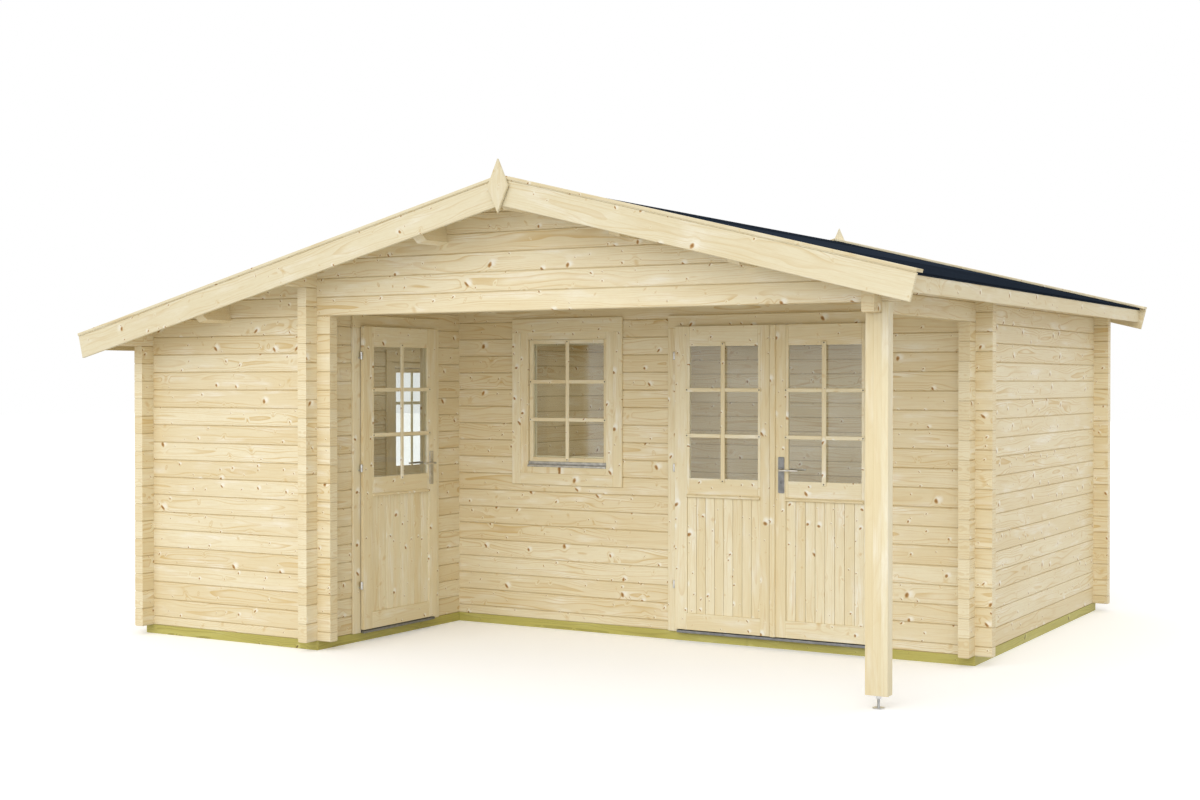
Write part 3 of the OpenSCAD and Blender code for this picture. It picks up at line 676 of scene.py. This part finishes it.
def facing(place, x, y, z, degrees=90):
    """A spot on a wall whose local z axis points outward, or inward with -90 degrees."""
    return place @ Matrix.Translation((x, y, z)) @ turned(degrees, "X")


def wall_place(node, turn):
    """A place on a wall's face, with x to the right seen from outside, y into the house and z up."""
    low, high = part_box(node)
    middle = (low + high) / 2
    if turn == 0:
        origin = Vector((middle.x, low.y + TRIM_T, 0.0))
    elif turn > 0:
        origin = Vector((high.x - TRIM_T, middle.y, 0.0))
    else:
        origin = Vector((low.x + TRIM_T, middle.y, 0.0))
    return Matrix.Translation(origin) @ turned(turn, "Z")


double_place = wall_place("double_door_frame", 0)
side_place = wall_place("side_door_frame", 90)
main_window_place = wall_place("main_window_frame", 0)
side_window_place = wall_place("side_window_frame", -90)
wall_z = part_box("ground_bearers")[1].z
floor_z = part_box("main_room_floor")[1].z
leaf_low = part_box("left_leaf")[0].z
leaf_foot = leaf_low + FOOT_GAP
leaf_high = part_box("left_leaf")[1].z
glass_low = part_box("left_leaf_glass")[0].z
glass_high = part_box("left_leaf_glass")[1].z
opening_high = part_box("front_gable")[0].z
ledge_top = glass_low - LOCK_RAIL
panel_low = leaf_low + BOTTOM_RAIL
panel_high = ledge_top - LEDGE_H


def local_span(node, place):
    """A node's lowest and highest corner in a door's or window's own coordinates."""
    back = place.inverted()
    ends = [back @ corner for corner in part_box(node)]
    low = Vector([min(e[i] for e in ends) for i in range(3)])
    high = Vector([max(e[i] for e in ends) for i in range(3)])
    return low, high


def screw(build, x, y, z, place):
    """A screw head that faces outward."""
    profile = [(SCREW, -0.001), (SCREW, 0.0004), (SCREW * 0.8, 0.0012), (SCREW * 0.25, 0.0014)]
    build.lathe(profile, facing(place, x, y, z), 16)


def glazing_bars(build, screws, span, face, cross, width, place):
    """Bars over a pane: one upright, and crossbars at the heights in cross, screwed at their ends."""
    low, high = span
    middle = (low.x + high.x) / 2
    left, right = middle - width / 2, middle + width / 2
    front = face - BAR_T
    cross_front = front + 0.0005
    inward = BAR_LAP * 0.55
    build.board((left, front, low.z - BAR_LAP), (right, face, high.z + BAR_LAP), 2, place, 0.003)
    for z in (low.z - inward, high.z + inward):
        screw(screws, middle, front, z, place)
    for z in cross:
        foot, top = z - BAR_H / 2, z + BAR_H / 2
        for outer, inner in ((low.x - BAR_LAP, left), (right, high.x + BAR_LAP)):
            build.board((outer, cross_front, foot), (inner, face, top), 0, place, 0.0025)
        for x in (low.x - inward, high.x + inward):
            screw(screws, x, cross_front, z, place)


# Door leaves
def leaf_layer(build, x0, x1, g0, g1, front, back, top, place, splayed=False):
    """Stiles and rails of one layer of a leaf, with a moulded or splayed strip beside the glass."""
    p0, p1 = g0 - BEAD, g1 + BEAD
    build.board((x0, front, leaf_foot), (p0, back, top), 2, place)
    build.board((p1, front, leaf_foot), (x1, back, top), 2, place)
    build.board((p0, front, leaf_foot), (p1, back, panel_low), 0, place)
    for outer, inner in ((p0, g0), (p1, g1)):
        if splayed:
            heel = outer + (inner - outer) * 0.15
            outline = [(outer, front), (inner, front), (heel, back), (outer, back)]
            build.prism(outline, ledge_top, top, (0, 1, 2), place, 0.001, lengthwise=True)
        else:
            left, right = sorted((outer, inner))
            build.board((left, front + 0.0008, ledge_top), (right, back, top), 2, place, 0.0022)
    build.board((g0, front, ledge_top), (g1, back, glass_low), 0, place)
    build.board((g0, front, glass_high), (g1, back, top), 0, place)


def leaf_ledge(build, g0, g1, place):
    """Weather ledge with a sloped top and a rounded nose."""
    nose = LEAF_FACE - LEDGE_OUT
    heel = LEAF_FACE + PANEL_RECESS
    outline = [
        (heel, panel_high), (nose + 0.006, panel_high), (nose + 0.002, panel_high + 0.002),
        (nose, panel_high + 0.006), (nose + 0.001, panel_high + 0.011), (LEAF_FACE, ledge_top),
        (heel, ledge_top),
    ]
    build.prism(outline, g0 + 0.0005, g1 - 0.0005, (1, 2, 0), place, 0.0008, lengthwise=True)


def door_leaf(name, body, glass_node, place, lips, screws):
    low, high = local_span(name, place)
    span = local_span(glass_node, place)
    x0, x1 = low.x, high.x
    g0, g1 = span[0].x, span[1].x
    build = Build()
    leaf_layer(build, x0, x1, g0, g1, LEAF_FACE, LEAF_BACK, leaf_high, place)
    leaf_layer(
        build, x0 + lips[0], x1 - lips[1], g0, g1, LEAF_BACK, CORE_BACK, leaf_high - LEAF_LIP, place, True
    )
    p0, p1 = g0 - BEAD, g1 + BEAD
    panels = (
        (LEAF_FACE + PANEL_RECESS, LEAF_BACK, PANEL_JOINT),
        (LEAF_BACK, CORE_BACK - PANEL_RECESS, 0.0),
    )
    for front, back, joint in panels:
        low, high = (p0, front, panel_low), (p1, back, ledge_top)
        build.row(low, high, PANEL_BOARDS, 0, 2, place, 0.0022, joint)
    leaf_ledge(build, p0, p1, place)
    third = (glass_high - glass_low) / 3
    cross = (glass_low + third * 0.97, glass_high - third * 0.99)
    glazing_bars(build, screws, span, LEAF_FACE, cross, LEAF_BAR, place)
    if name == "right_leaf":
        strip_face = LEAF_FACE - MEETING_OUT
        build.board((x0, strip_face, leaf_foot), (x0 + MEETING_W, LEAF_FACE, leaf_high), 2, place, 0.0018)
    build.finish(name + "_joinery", PLANED_PAIR, body, "planed_wood", name)


# Frames
def door_frame(name, body, leaf_half, place):
    """Cover boards outside and inside, and the jambs and head between them."""
    inner = leaf_half - FRAME_IN
    low, high = local_span(name, place)
    head = leaf_high - FRAME_IN
    jamb = leaf_half + JAMB_OUT
    build = Build()
    for left, right, front, back, foot, top, chamfer in (
        (low.x, high.x, -TRIM_T, 0.0, wall_z, high.z, 0.003),
        (low.x, high.x, LOG_T, LOG_T + TRIM_T, floor_z, high.z, 0.003),
        (-jamb, jamb, 0.0, LOG_T, wall_z, opening_high, EDGE),
    ):
        build.board((left, front, foot), (-inner, back, head), 2, place, chamfer)
        build.board((inner, front, foot), (right, back, head), 2, place, chamfer)
        build.board((left, front, head), (right, back, top), 0, place, chamfer)
    build.finish(name + "_boards", PLANED_PAIR, body, "planed_wood", name)


def four_boards(build, outer, inner, front, back, place, chamfer):
    """Two uprights of full height, then a lower and an upper board between them. Both outlines are given
    as left, foot, right, top."""
    left, foot, right, top = outer
    x0, z0, x1, z1 = inner
    build.board((left, front, foot), (x0, back, top), 2, place, chamfer)
    build.board((x1, front, foot), (right, back, top), 2, place, chamfer)
    build.board((x0, front, foot), (x1, back, z0), 0, place, chamfer)
    build.board((x0, front, z1), (x1, back, top), 0, place, chamfer)


def window(name, place, screws):
    """Cover boards, frame and sash of a window."""
    low, high = local_span(name + "_frame", place)
    sash_low, sash_high = local_span(name + "_sash", place)
    span = local_span(name + "_glass", place)
    trim = 0.066
    top_trim = 0.095
    foot_trim = 0.076
    half = high.x - trim / 2
    sill = low.z + 0.065
    head = high.z - 0.020
    frame_front = -0.010
    build = Build()
    for front, back in ((-TRIM_T, 0.0), (LOG_T, LOG_T + TRIM_T)):
        build.board((low.x, front, high.z - top_trim), (high.x, back, high.z), 0, place, 0.003)
        build.board((low.x, front, low.z), (low.x + trim, back, high.z - top_trim), 2, place, 0.003)
        build.board((high.x - trim, front, low.z), (high.x, back, high.z - top_trim), 2, place, 0.003)
        build.board((low.x + trim, front, low.z), (high.x - trim, back, low.z + foot_trim), 0, place, 0.003)
    opening = (sash_low.x, sash_low.z, sash_high.x, sash_high.z)
    four_boards(build, (-half, sill, half, head), opening, frame_front, LOG_T, place, 0.002)
    build.finish(name + "_frame_boards", PLANED_PAIR, "house", "planed_wood", name + "_frame")
    sash = Build()
    gap = 0.0015
    bead = 0.010
    face, back = sash_low.y, sash_high.y
    outside = (sash_low.x + gap, sash_low.z + gap, sash_high.x - gap, sash_high.z - gap)
    pane = (span[0].x, span[0].z, span[1].x, span[1].z)
    four_boards(sash, outside, pane, face, back, place, 0.003)
    clear = (pane[0] + bead, pane[1] + bead, pane[2] - bead, pane[3] - bead)
    four_boards(sash, pane, clear, span[1].y, back - 0.004, place, 0.002)
    third = (span[1].z - span[0].z) / 3
    glazing_bars(sash, screws, span, face, (span[0].z + third, span[1].z - third), SASH_BAR, place)
    sash.finish(name + "_sash_joinery", PLANED_PAIR, "house", "planed_wood", name + "_sash")


# Roof
ridge_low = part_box("roof_boards_left")[1]
roof_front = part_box("roof_boards_left")[0].y
roof_back = ridge_low.y
ridge_x = ridge_low.x + 0.0005
ridge_z = ridge_low.z - BOARD_T / ROOF_COS


def slope_place(side):
    """Slope coordinates: x down the slope from the ridge, z square to it from the boards' underside."""
    down = Vector((side * ROOF_COS, 0.0, -math.sin(PITCH)))
    up = Vector((side * math.sin(PITCH), 0.0, ROOF_COS))
    turn = Matrix((down, Vector((0.0, 1.0, 0.0)), up)).transposed().to_4x4()
    return Matrix.Translation((ridge_x, 0.0, ridge_z)) @ turn


SLOPES = {"left": (-1, slope_place(-1)), "right": (1, slope_place(1))}


def slope_reach(node, side):
    """Distance down the slope from the ridge to a node's outer edge."""
    low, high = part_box(node)
    edge = low.x if side < 0 else high.x
    return abs(edge - ridge_x) / ROOF_COS


def roof_boards(name, side, place):
    """Tongue and groove boards from the ridge to the eave."""
    build = Build()
    corner = (slope_reach(name, side) - 0.001, roof_back, BOARD_T - 0.0002)
    build.row((0.0, roof_front, 0.0), corner, ROOF_BOARDS, 1, 0, place, 0.0026)
    build.finish(name + "_planks", SPRUCE_PAIR, "house", "planed_wood", name)


def roof_felt(name, side, place):
    """Strips of felt up to the ridge, each lapped over the one below, and a strip folded over the eave."""
    low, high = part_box(name)
    strip = 0.95
    sheet = 0.0018
    lap = 0.0020
    reach = slope_reach(name, side)
    ridge = -BOARD_T * LEAN
    build = Build()
    foot = reach
    while foot > 0.02:
        top = max(foot - strip, ridge)
        head = max(top - 0.08, ridge)
        lift = lap if foot < reach else 0.0
        outline = [
            (head, BOARD_T), (foot, BOARD_T + lift), (foot, BOARD_T + lift + sheet),
            (head - sheet * LEAN, BOARD_T + sheet),
        ]
        build.prism(outline, low.y + 0.022, high.y - 0.022, (0, 2, 1), place, 0.0003, ends=False)
        foot = top
    edge = ridge_x + side * reach * ROOF_COS
    eave = ridge_z + BOARD_T / ROOF_COS - reach * math.sin(PITCH)
    outline = [
        (edge, eave + 0.001), (edge, eave - 0.012), (edge - side * 0.0025, eave - 0.0125),
        (edge - side * 0.0035, eave + 0.001),
    ]
    build.prism(outline, roof_front, roof_back, (0, 2, 1), HERE, 0.0003, ends=False)
    build.finish(name + "_strips", [felt], "house", "roof_felt", name)


def slope_outline(reach, low, high):
    """A board down the slope, cut upright where it meets its twin at the ridge."""
    gap = 0.0005
    return [(gap - low * LEAN, low), (reach, low), (reach, high), (gap - high * LEAN, high)]


def edge_boards(name, low, high):
    """The pair of boards of a node that meet at the ridge."""
    near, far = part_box(name)
    build = Build()
    for side, place in SLOPES.values():
        reach = slope_reach(name, side) - high * LEAN
        build.prism(slope_outline(reach, low, high), near.y, far.y, (0, 2, 1), place, 0.0025)
        if low > 0:
            outer = near.y if near.y < 0 else far.y - 0.022
            strip = slope_outline(reach - 0.004, BOARD_T + 0.0002, low + 0.001)
            build.prism(strip, outer + 0.004, outer + 0.018, (0, 2, 1), place, 0.0004)
    build.finish(name + "_planed", EDGE_PAIR, "house", "planed_wood", name)


def fascia_boards():
    name = "eave_fascias"
    low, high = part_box(name)
    build = Build()
    thick = 0.019
    tall = 0.098
    for side in (-1, 1):
        edge = low.x if side < 0 else high.x
        top = ridge_z + BOARD_T / ROOF_COS - abs(edge - ridge_x) * LEAN
        back = edge - side * thick
        rise = thick * LEAN
        outline = [(edge, top - tall), (edge, top), (back, top + rise), (back, top - tall)]
        build.prism(outline, low.y, high.y, (0, 2, 1), HERE, 0.002, lengthwise=True)
    build.finish("eave_fascia_boards", EDGE_PAIR, "house", "planed_wood", name)


def finial_boards():
    low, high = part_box("finials")
    thick = 0.020
    half = (high.x - low.x) / 2
    middle = (low.z + high.z) / 2
    outline = [
        (low.z, ridge_x), (middle, ridge_x + half), (high.z, ridge_x), (middle, ridge_x - half),
    ]
    build = Build()
    for y in (low.y, high.y - thick):
        build.prism(outline, y, y + thick, (2, 0, 1), HERE, 0.003, ends=False)
    build.finish("finial_diamonds", EDGE_PAIR, "house", "planed_wood", "finials")


# Post and floors
def porch_post():
    """Glued post of three upright lamellas; the outer one runs on up beside the beam."""
    low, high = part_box("porch_post")
    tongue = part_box("side_beam")[1].x
    seat = opening_high - LOG_H / 2
    cuts = [low.x, (low.x + tongue) / 2, tongue, high.x]
    build = Build()
    for i in range(3):
        top = seat if i < 2 else high.z
        build.board((cuts[i], low.y, low.z), (cuts[i + 1], high.y, top), 2, HERE, 0.0008)
    build.finish("porch_post_lamellas", [clear_board, planed_end], "house", "planed_wood", "porch_post")


def floors():
    low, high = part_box("main_room_floor")
    build = Build()
    build.row(low, high, round((high.x - low.x) / FLOOR_BOARD), 0, 1, HERE, 0.0018)
    build.finish("main_room_floor_boards", PLANED_PAIR, "house", "planed_wood", "main_room_floor")
    low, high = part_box("small_room_floor")
    wall_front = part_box("main_wall_under_window")[0]
    notch = (wall_front.y - 0.002, wall_front.y + LOG_T + 0.002)
    build = Build()
    count = round((high.y - low.y) / FLOOR_BOARD)
    step = (high.y - low.y) / count
    for i in range(count):
        y = low.y + i * step
        end = wall_front.x - 0.002 if y + step > notch[0] and y < notch[1] else high.x
        build.board((low.x, y, low.z), (end, y + step, high.z), 0, HERE, 0.0018)
    build.finish("small_room_floor_boards", PLANED_PAIR, "house", "planed_wood", "small_room_floor")


# Metal
def rounded_plate(build, x0, x1, z0, z1, front, back, place, radius):
    """A plate with rounded corners in the plane of the wall."""
    outline = []
    corners = ((x1, z1, 0), (x0, z1, 90), (x0, z0, 180), (x1, z0, 270))
    for x, z, start in corners:
        cx = x - radius if x == x1 else x + radius
        cz = z - radius if z == z1 else z + radius
        for k in range(5):
            a = math.radians(start + 22.5 * k)
            outline.append((cx + radius * math.cos(a), cz + radius * math.sin(a)))
    build.prism(outline, front, back, (0, 2, 1), place, 0.0012, ends=False)


def hinge_heights():
    low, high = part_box("left_leaf_hinges")
    first = low.z - 0.001
    last = high.z - HINGE_H - 0.001
    return [first, leaf_low + HINGE_MIDDLE, last]


def hinge_half(build, x, side, z, place, on_leaf, slot):
    """One half of a drill-in hinge: its barrel with a domed end and a collar, and the pin that holds it."""
    axis_y = (LEAF_FACE + LEAF_BACK) / 2
    base = z + 0.001 if on_leaf else z
    way = 1.0 if on_leaf else -1.0
    centre = Matrix.Translation((x - side * HINGE_OUT, axis_y, base))
    spot = place @ centre @ Matrix.Diagonal((1, 1, way, 1))
    profile = [(BARREL - 0.0008, 0.0), (BARREL, 0.0008), (BARREL, HINGE_H - 0.005)]
    for k in range(1, 6):
        a = math.radians(18 * k)
        profile.append((BARREL * math.cos(a) * 0.999 + 0.0002, HINGE_H - 0.005 + 0.005 * math.sin(a)))
    build.lathe(profile, spot, 24, slot)
    height = Matrix.Translation((0, 0, way * HINGE_H / 2))
    if on_leaf:
        lead = turned(90 * side, "Y")
        length = HINGE_OUT
    else:
        lead = turned(-90, "X")
        length = -TRIM_T - axis_y
    pin = place @ centre @ height @ lead
    collar = PIN + 0.0015
    shape = [(PIN, 0.0), (PIN, length - 0.001), (collar, length - 0.001), (collar, length)]
    build.lathe(shape, pin, 20, slot)


def lever_set(build, x, z, place):
    """Long plates on both faces of a leaf with their screws, rosette and keyhole."""
    tall = 0.222
    half = 0.020
    lock_drop = 0.072
    slit = 0.0012
    for face, way in ((LEAF_FACE, -1), (CORE_BACK, 1)):
        surface = face + way * PLATE_T
        front, back = sorted((face, surface))
        rounded_plate(build, x - half, x + half, z - tall * 0.64, z + tall * 0.36, front, back, place, 0.007)
        turn = -90 * way
        rosette = facing(place, x, surface, z, turn)
        build.lathe([(0.0150, 0.0), (0.0150, 0.002), (0.0135, 0.0035), (0.0105, 0.0040)], rosette, 32)
        lock = facing(place, x, surface, z - lock_drop, turn)
        build.lathe([(0.0085, 0.0), (0.0085, 0.0016), (0.0078, 0.0022), (0.002, 0.0022)], lock, 28)
        # The keyhole's core and slit take slot 1, painted shade that stands for the shaded hole.
        build.lathe([(0.0022, 0.0), (0.0022, 0.0027), (0.0005, 0.0027)], lock, 16, 1)
        foot, top = z - lock_drop - 0.012, z - lock_drop
        outline = [(x - slit, foot), (x + slit, foot), (x + slit, top), (x - slit, top)]
        near, far = sorted((surface + way * 0.0004, surface + way * 0.0026))
        build.prism(outline, near, far, (0, 2, 1), place, 0.0003, ends=False, slot=1)
        for height in (z + tall * 0.30, z - tall * 0.58):
            head = [(SCREW, -0.001), (SCREW, 0.0003), (0.0032, 0.0012), (0.0010, 0.0013)]
            build.lathe(head, facing(place, x, surface, height, turn), 16)


def lever_handles(name, body, x, z, side, place):
    """A pair of levers on one neck, each bent to the side and drawn out thinner."""
    build = Build()
    reach = 0.121
    bend = 0.012
    for face, way in ((LEAF_FACE - PLATE_T, -1), (CORE_BACK + PLATE_T, 1)):
        out = face + way * 0.038
        path = [Vector((x, face + way * 0.001, z)), Vector((x, face + way * 0.020, z))]
        radii = [(0.0075, 0.0075), (0.0075, 0.0075)]
        for k in range(1, 7):
            a = math.radians(15 * k)
            across = side * bend * (1 - math.cos(a))
            path.append(Vector((x + across, out - way * bend * (1 - math.sin(a)), z)))
            radii.append((0.0072, 0.0072))
        for k in range(1, 9):
            t = k / 8
            path.append(Vector((x + side * (bend + (reach - bend) * t), out - way * 0.004 * t * t, z)))
            radii.append((0.0070 - 0.0018 * t, 0.0070 - 0.0014 * t))
        tip = path[-1]
        for k in range(1, 5):
            a = math.radians(22.5 * k)
            path.append(tip + Vector((side * 0.006 * math.sin(a), 0, 0)))
            radii.append((0.0052 * math.cos(a) + 0.0002, 0.0056 * math.cos(a) + 0.0002))
        build.sweep(path, radii, place)
    build.finish(name + "_handles", [pale_steel], body, "steel", name)


def extruded(build, outline, x0, x1, place, chamfer=0.0004):
    build.prism(outline, x0, x1, (1, 2, 0), place, chamfer, ends=False)


def thresholds():
    """Metal sills with a rounded nose that hangs over the bearer, and a groove along each edge."""
    build = Build()
    nose = -TRIM_T - 0.020
    lip = wall_z - 0.003
    high = wall_z + 0.014
    top = high - 0.0005
    groove = high - 0.0020
    outline = [
        (nose + 0.005, wall_z), (nose + 0.005, lip), (nose + 0.001, lip), (nose, lip + 0.001),
        (nose, high - 0.004), (nose + 0.0012, high - 0.0014), (nose + 0.004, top), (nose + 0.014, top),
        (nose + 0.016, groove), (nose + 0.022, groove), (nose + 0.024, top), (LOG_T - 0.012, top),
        (LOG_T - 0.010, groove), (LOG_T, groove), (LOG_T, wall_z),
    ]
    for half, place in ((side_half, side_place), (double_half, double_place)):
        inner = half - FRAME_IN
        extruded(build, outline, -inner, inner, place, 0.0003)
    build.finish("threshold_sills", [sill_metal], "house", "steel", "thresholds")


def drip_rail(name, place):
    """Drip rail under a sash: an upper band, a groove below it, a nose that stands out, and end caps."""
    low, high = local_span(name, place)
    build = Build()
    depth = high.y - low.y
    tall = high.z - low.z
    steps = (
        (1.0, 0.0), (1.0, 1.0), (0.74, 0.97), (0.70, 0.90), (0.66, 0.58), (0.86, 0.52), (0.86, 0.44),
        (0.10, 0.38), (0.02, 0.33), (0.0, 0.26), (0.0, 0.03), (0.10, 0.0),
    )
    outline = [(low.y + depth * u, low.z + tall * v) for u, v in steps]
    extruded(build, outline, low.x + 0.002, high.x - 0.002, place)
    for x0, x1 in ((low.x, low.x + 0.004), (high.x - 0.004, high.x)):
        extruded(build, inset_outline(outline, -0.0006), x0, x1, place, 0.0003)
    build.finish(name + "_rail", [dull], "house", "steel", name)


def post_foot():
    """Adjustable foot: base plate, threaded rod with its nut, and the plate under the post."""
    low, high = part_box("post_foot")
    middle = (low + high) / 2
    spot = Matrix.Translation((middle.x, middle.y, low.z))
    tall = high.z - low.z
    radius = (high.x - low.x) / 2
    build = Build()
    rim = [(radius - 0.001, 0.0), (radius, 0.001), (radius, 0.0035), (radius - 0.0015, 0.005)]
    build.lathe(rim + [(0.011, 0.0052)], spot, 40)
    thread = []
    pitch = 0.0022
    count = int((tall - 0.024) / pitch)
    for i in range(count):
        thread.append((0.0075, 0.005 + i * pitch))
        thread.append((0.0063, 0.005 + (i + 0.5) * pitch))
    build.lathe(thread, spot, 24)
    nut = spot @ Matrix.Translation((0, 0, tall - 0.019))
    build.lathe([(0.0132, 0.0), (0.015, 0.0014), (0.015, 0.0146), (0.0132, 0.016)], nut, 6)
    cap = spot @ Matrix.Translation((0, 0, tall - 0.003))
    build.lathe([(0.0130, -0.001), (0.0215, 0.0), (0.0225, 0.0008), (0.0225, 0.003)], cap, 36)
    build.finish("adjustable_foot", [bright], "house", "steel", "post_foot")


# Assembly
side_half = local_span("side_door_leaf", side_place)[1].x
double_half = local_span("right_leaf", double_place)[1].x
for body, leaf, pane, place, lips in (
    ("side_door", "side_door_leaf", "side_door_glass", side_place, (LEAF_LIP, LEAF_LIP)),
    ("left_door", "left_leaf", "left_leaf_glass", double_place, (LEAF_LIP, 0.0)),
    ("right_door", "right_leaf", "right_leaf_glass", double_place, (0.0, LEAF_LIP)),
):
    bar_screws = Build()
    door_leaf(leaf, body, pane, place, lips, bar_screws)
    bar_screws.finish(leaf + "_bar_screws", [screw_metal], body, "steel")
door_frame("side_door_frame", "house", side_half, side_place)
door_frame("double_door_frame", "house", double_half, double_place)
window_screws = Build()
window("main_window", main_window_place, window_screws)
window("side_window", side_window_place, window_screws)
window_screws.finish("window_bar_screws", [screw_metal], "house", "steel")
for name, (side, place) in SLOPES.items():
    roof_boards("roof_boards_" + name, side, place)
    roof_felt("roof_felt_" + name, side, place)
edge_boards("front_bargeboards", BOARD_T - BARGE_H, BOARD_T - 0.0001)
edge_boards("back_bargeboards", BOARD_T - BARGE_H, BOARD_T - 0.0001)
edge_boards("front_caps", BOARD_T + FELT_T, BOARD_T + FELT_T + CAP_T)
edge_boards("back_caps", BOARD_T + FELT_T, BOARD_T + FELT_T + CAP_T)
fascia_boards()
finial_boards()
porch_post()
floors()

side_lever = local_span("side_door_lever", side_place)
double_lever = local_span("double_door_lever", double_place)
lever_z = (side_lever[0].z + side_lever[1].z) / 2
side_lever_x = side_lever[1].x - LEVER_R
double_lever_x = double_lever[0].x + LEVER_R
frame_hinges = Build()
for body, leaf_node, edge, side, place, lever_x in (
    ("side_door", "side_door_fittings", -side_half, 1, side_place, side_lever_x),
    ("left_door", "left_leaf_hinges", -double_half, 1, double_place, None),
    ("right_door", "right_leaf_fittings", double_half, -1, double_place, double_lever_x),
):
    fittings = Build()
    for z in hinge_heights():
        hinge_half(fittings, edge, side, z, place, True, 2)
        hinge_half(frame_hinges, edge, side, z, place, False, 0)
    if lever_x is not None:
        lever_set(fittings, lever_x, lever_z, place)
    plate = pale_steel if body == "side_door" else steel
    # Slot 1 of these fittings is the keyhole's painted shade.
    fittings.finish(leaf_node + "_metal", [plate, dark, bright], body, "steel", leaf_node)
frame_hinges.finish("frame_hinge_halves", [bright], "house", "steel", "hinge_pins")
lever_handles("side_door_lever", "side_lever", side_lever_x, lever_z, -1, side_place)
lever_handles("double_door_lever", "double_lever", double_lever_x, lever_z, 1, double_place)
thresholds()
drip_rail("main_window_drip", main_window_place)
drip_rail("side_window_drip", side_window_place)
post_foot()


# Studio
def seen_directly(s):
    """1 for rays from the camera, straight, mirrored or through glass, and 0 for scattered light."""
    ray = s.node("ShaderNodeLightPath", {}).outputs
    direct = s.math("MAXIMUM", ray["Is Camera Ray"], ray["Is Glossy Ray"])
    return s.math("MAXIMUM", direct, ray["Is Transmission Ray"])


def studio_world(strength):
    world = bpy.data.worlds.new("studio")
    bpy.context.scene.world = world
    s = Shader(world)
    lit = s.node("ShaderNodeBackground", {"Color": (1.0, 0.995, 0.985, 1.0), "Strength": strength})
    seen = s.node("ShaderNodeBackground", {"Color": (1.0, 1.0, 1.0, 1.0), "Strength": 1.0})
    mix = s.node("ShaderNodeMixShader", {0: seen_directly(s), 1: lit.outputs[0], 2: seen.outputs[0]})
    s.node("ShaderNodeOutputWorld", {0: mix.outputs[0]})


def studio_floor():
    """A wide floor, white where it is seen and grey in the light that it throws back."""
    mesh = bpy.data.meshes.new("studio_floor")
    reach = 60.0
    corners = [(-reach, -reach, 0), (reach, -reach, 0), (reach, reach, 0), (-reach, reach, 0)]
    mesh.from_pydata(corners, [], [[0, 1, 2, 3]])
    floor = bpy.data.objects.new("studio_floor", mesh)
    floor.location.z = -0.0005
    bpy.context.collection.objects.link(floor)
    s = new_material("studio_floor")
    plain = s.node("ShaderNodeBsdfDiffuse", {"Color": (0.66, 0.66, 0.65, 1.0)})
    bright_floor = s.node("ShaderNodeBsdfDiffuse", {"Color": (0.98, 0.98, 0.98, 1.0)})
    glow = s.node("ShaderNodeEmission", {"Strength": 0.16})
    seen = s.node("ShaderNodeAddShader", {0: bright_floor.outputs[0], 1: glow.outputs[0]})
    mix = s.node("ShaderNodeMixShader", {0: seen_directly(s), 1: plain.outputs[0], 2: seen.outputs[0]})
    s.node("ShaderNodeOutputMaterial", {"Surface": mix.outputs[0]})
    mesh.materials.append(s.owner)


def lamp(name, kind, energy, spot=(0.0, 0.0, 0.0), towards=None, **settings):
    """A lamp that shines in a direction, or straight down where none is given."""
    light = bpy.data.lights.new(name, kind)
    light.energy = energy
    for key, value in settings.items():
        setattr(light, key, value)
    holder = bpy.data.objects.new(name, light)
    holder.location = spot
    if towards is not None:
        holder.rotation_euler = Vector(towards).to_track_quat("-Z", "Y").to_euler()
    bpy.context.collection.objects.link(holder)
    return holder


def room_lamp(name, room, energy):
    """A soft lamp under the roof of a room, so that it shows through the panes."""
    low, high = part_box(room)
    spot = ((low.x + high.x) / 2, (low.y + high.y) / 2, 1.98)
    wide, deep = (high.x - low.x) * 0.8, (high.y - low.y) * 0.8
    lamp(name, "AREA", energy, spot, shape="RECTANGLE", size=wide, size_y=deep)


def porch_fill():
    """A wide soft lamp in front of the porch, which is itself not seen or mirrored."""
    spot = Vector((2.2, -6.2, 2.2))
    aim = Vector((0.5, -0.8, 0.7))
    look = {"shape": "RECTANGLE", "size": 3.4, "size_y": 0.8, "spread": math.radians(45)}
    holder = lamp("porch_fill", "AREA", 3.2, spot, aim - spot, color=(0.92, 1.0, 1.15), **look)
    holder.visible_camera = False
    holder.visible_glossy = False


studio_world(0.92)
studio_floor()
sun_light = {"angle": math.radians(62), "color": (1.0, 0.985, 0.95)}
lamp("key_sun", "SUN", 1.0, towards=(-0.10, 0.85, -0.53), **sun_light)
porch_fill()
room_lamp("main_room_lamp", "main_room_floor", 12.0)
room_lamp("small_room_lamp", "small_room_floor", 7.0)
bpy.context.scene.view_settings.view_transform = "Standard"

camera_data = bpy.data.cameras.new("camera")
camera_data.lens = 50
camera_data.sensor_width = 36
camera_data.sensor_fit = "HORIZONTAL"
camera = bpy.data.objects.new("camera", camera_data)
camera.location = (5.593, -10.018, 1.650)
camera.rotation_euler = (math.radians(90 - 0.631), 0.0, math.radians(30.599))
bpy.context.collection.objects.link(camera)
bpy.context.scene.camera = camera
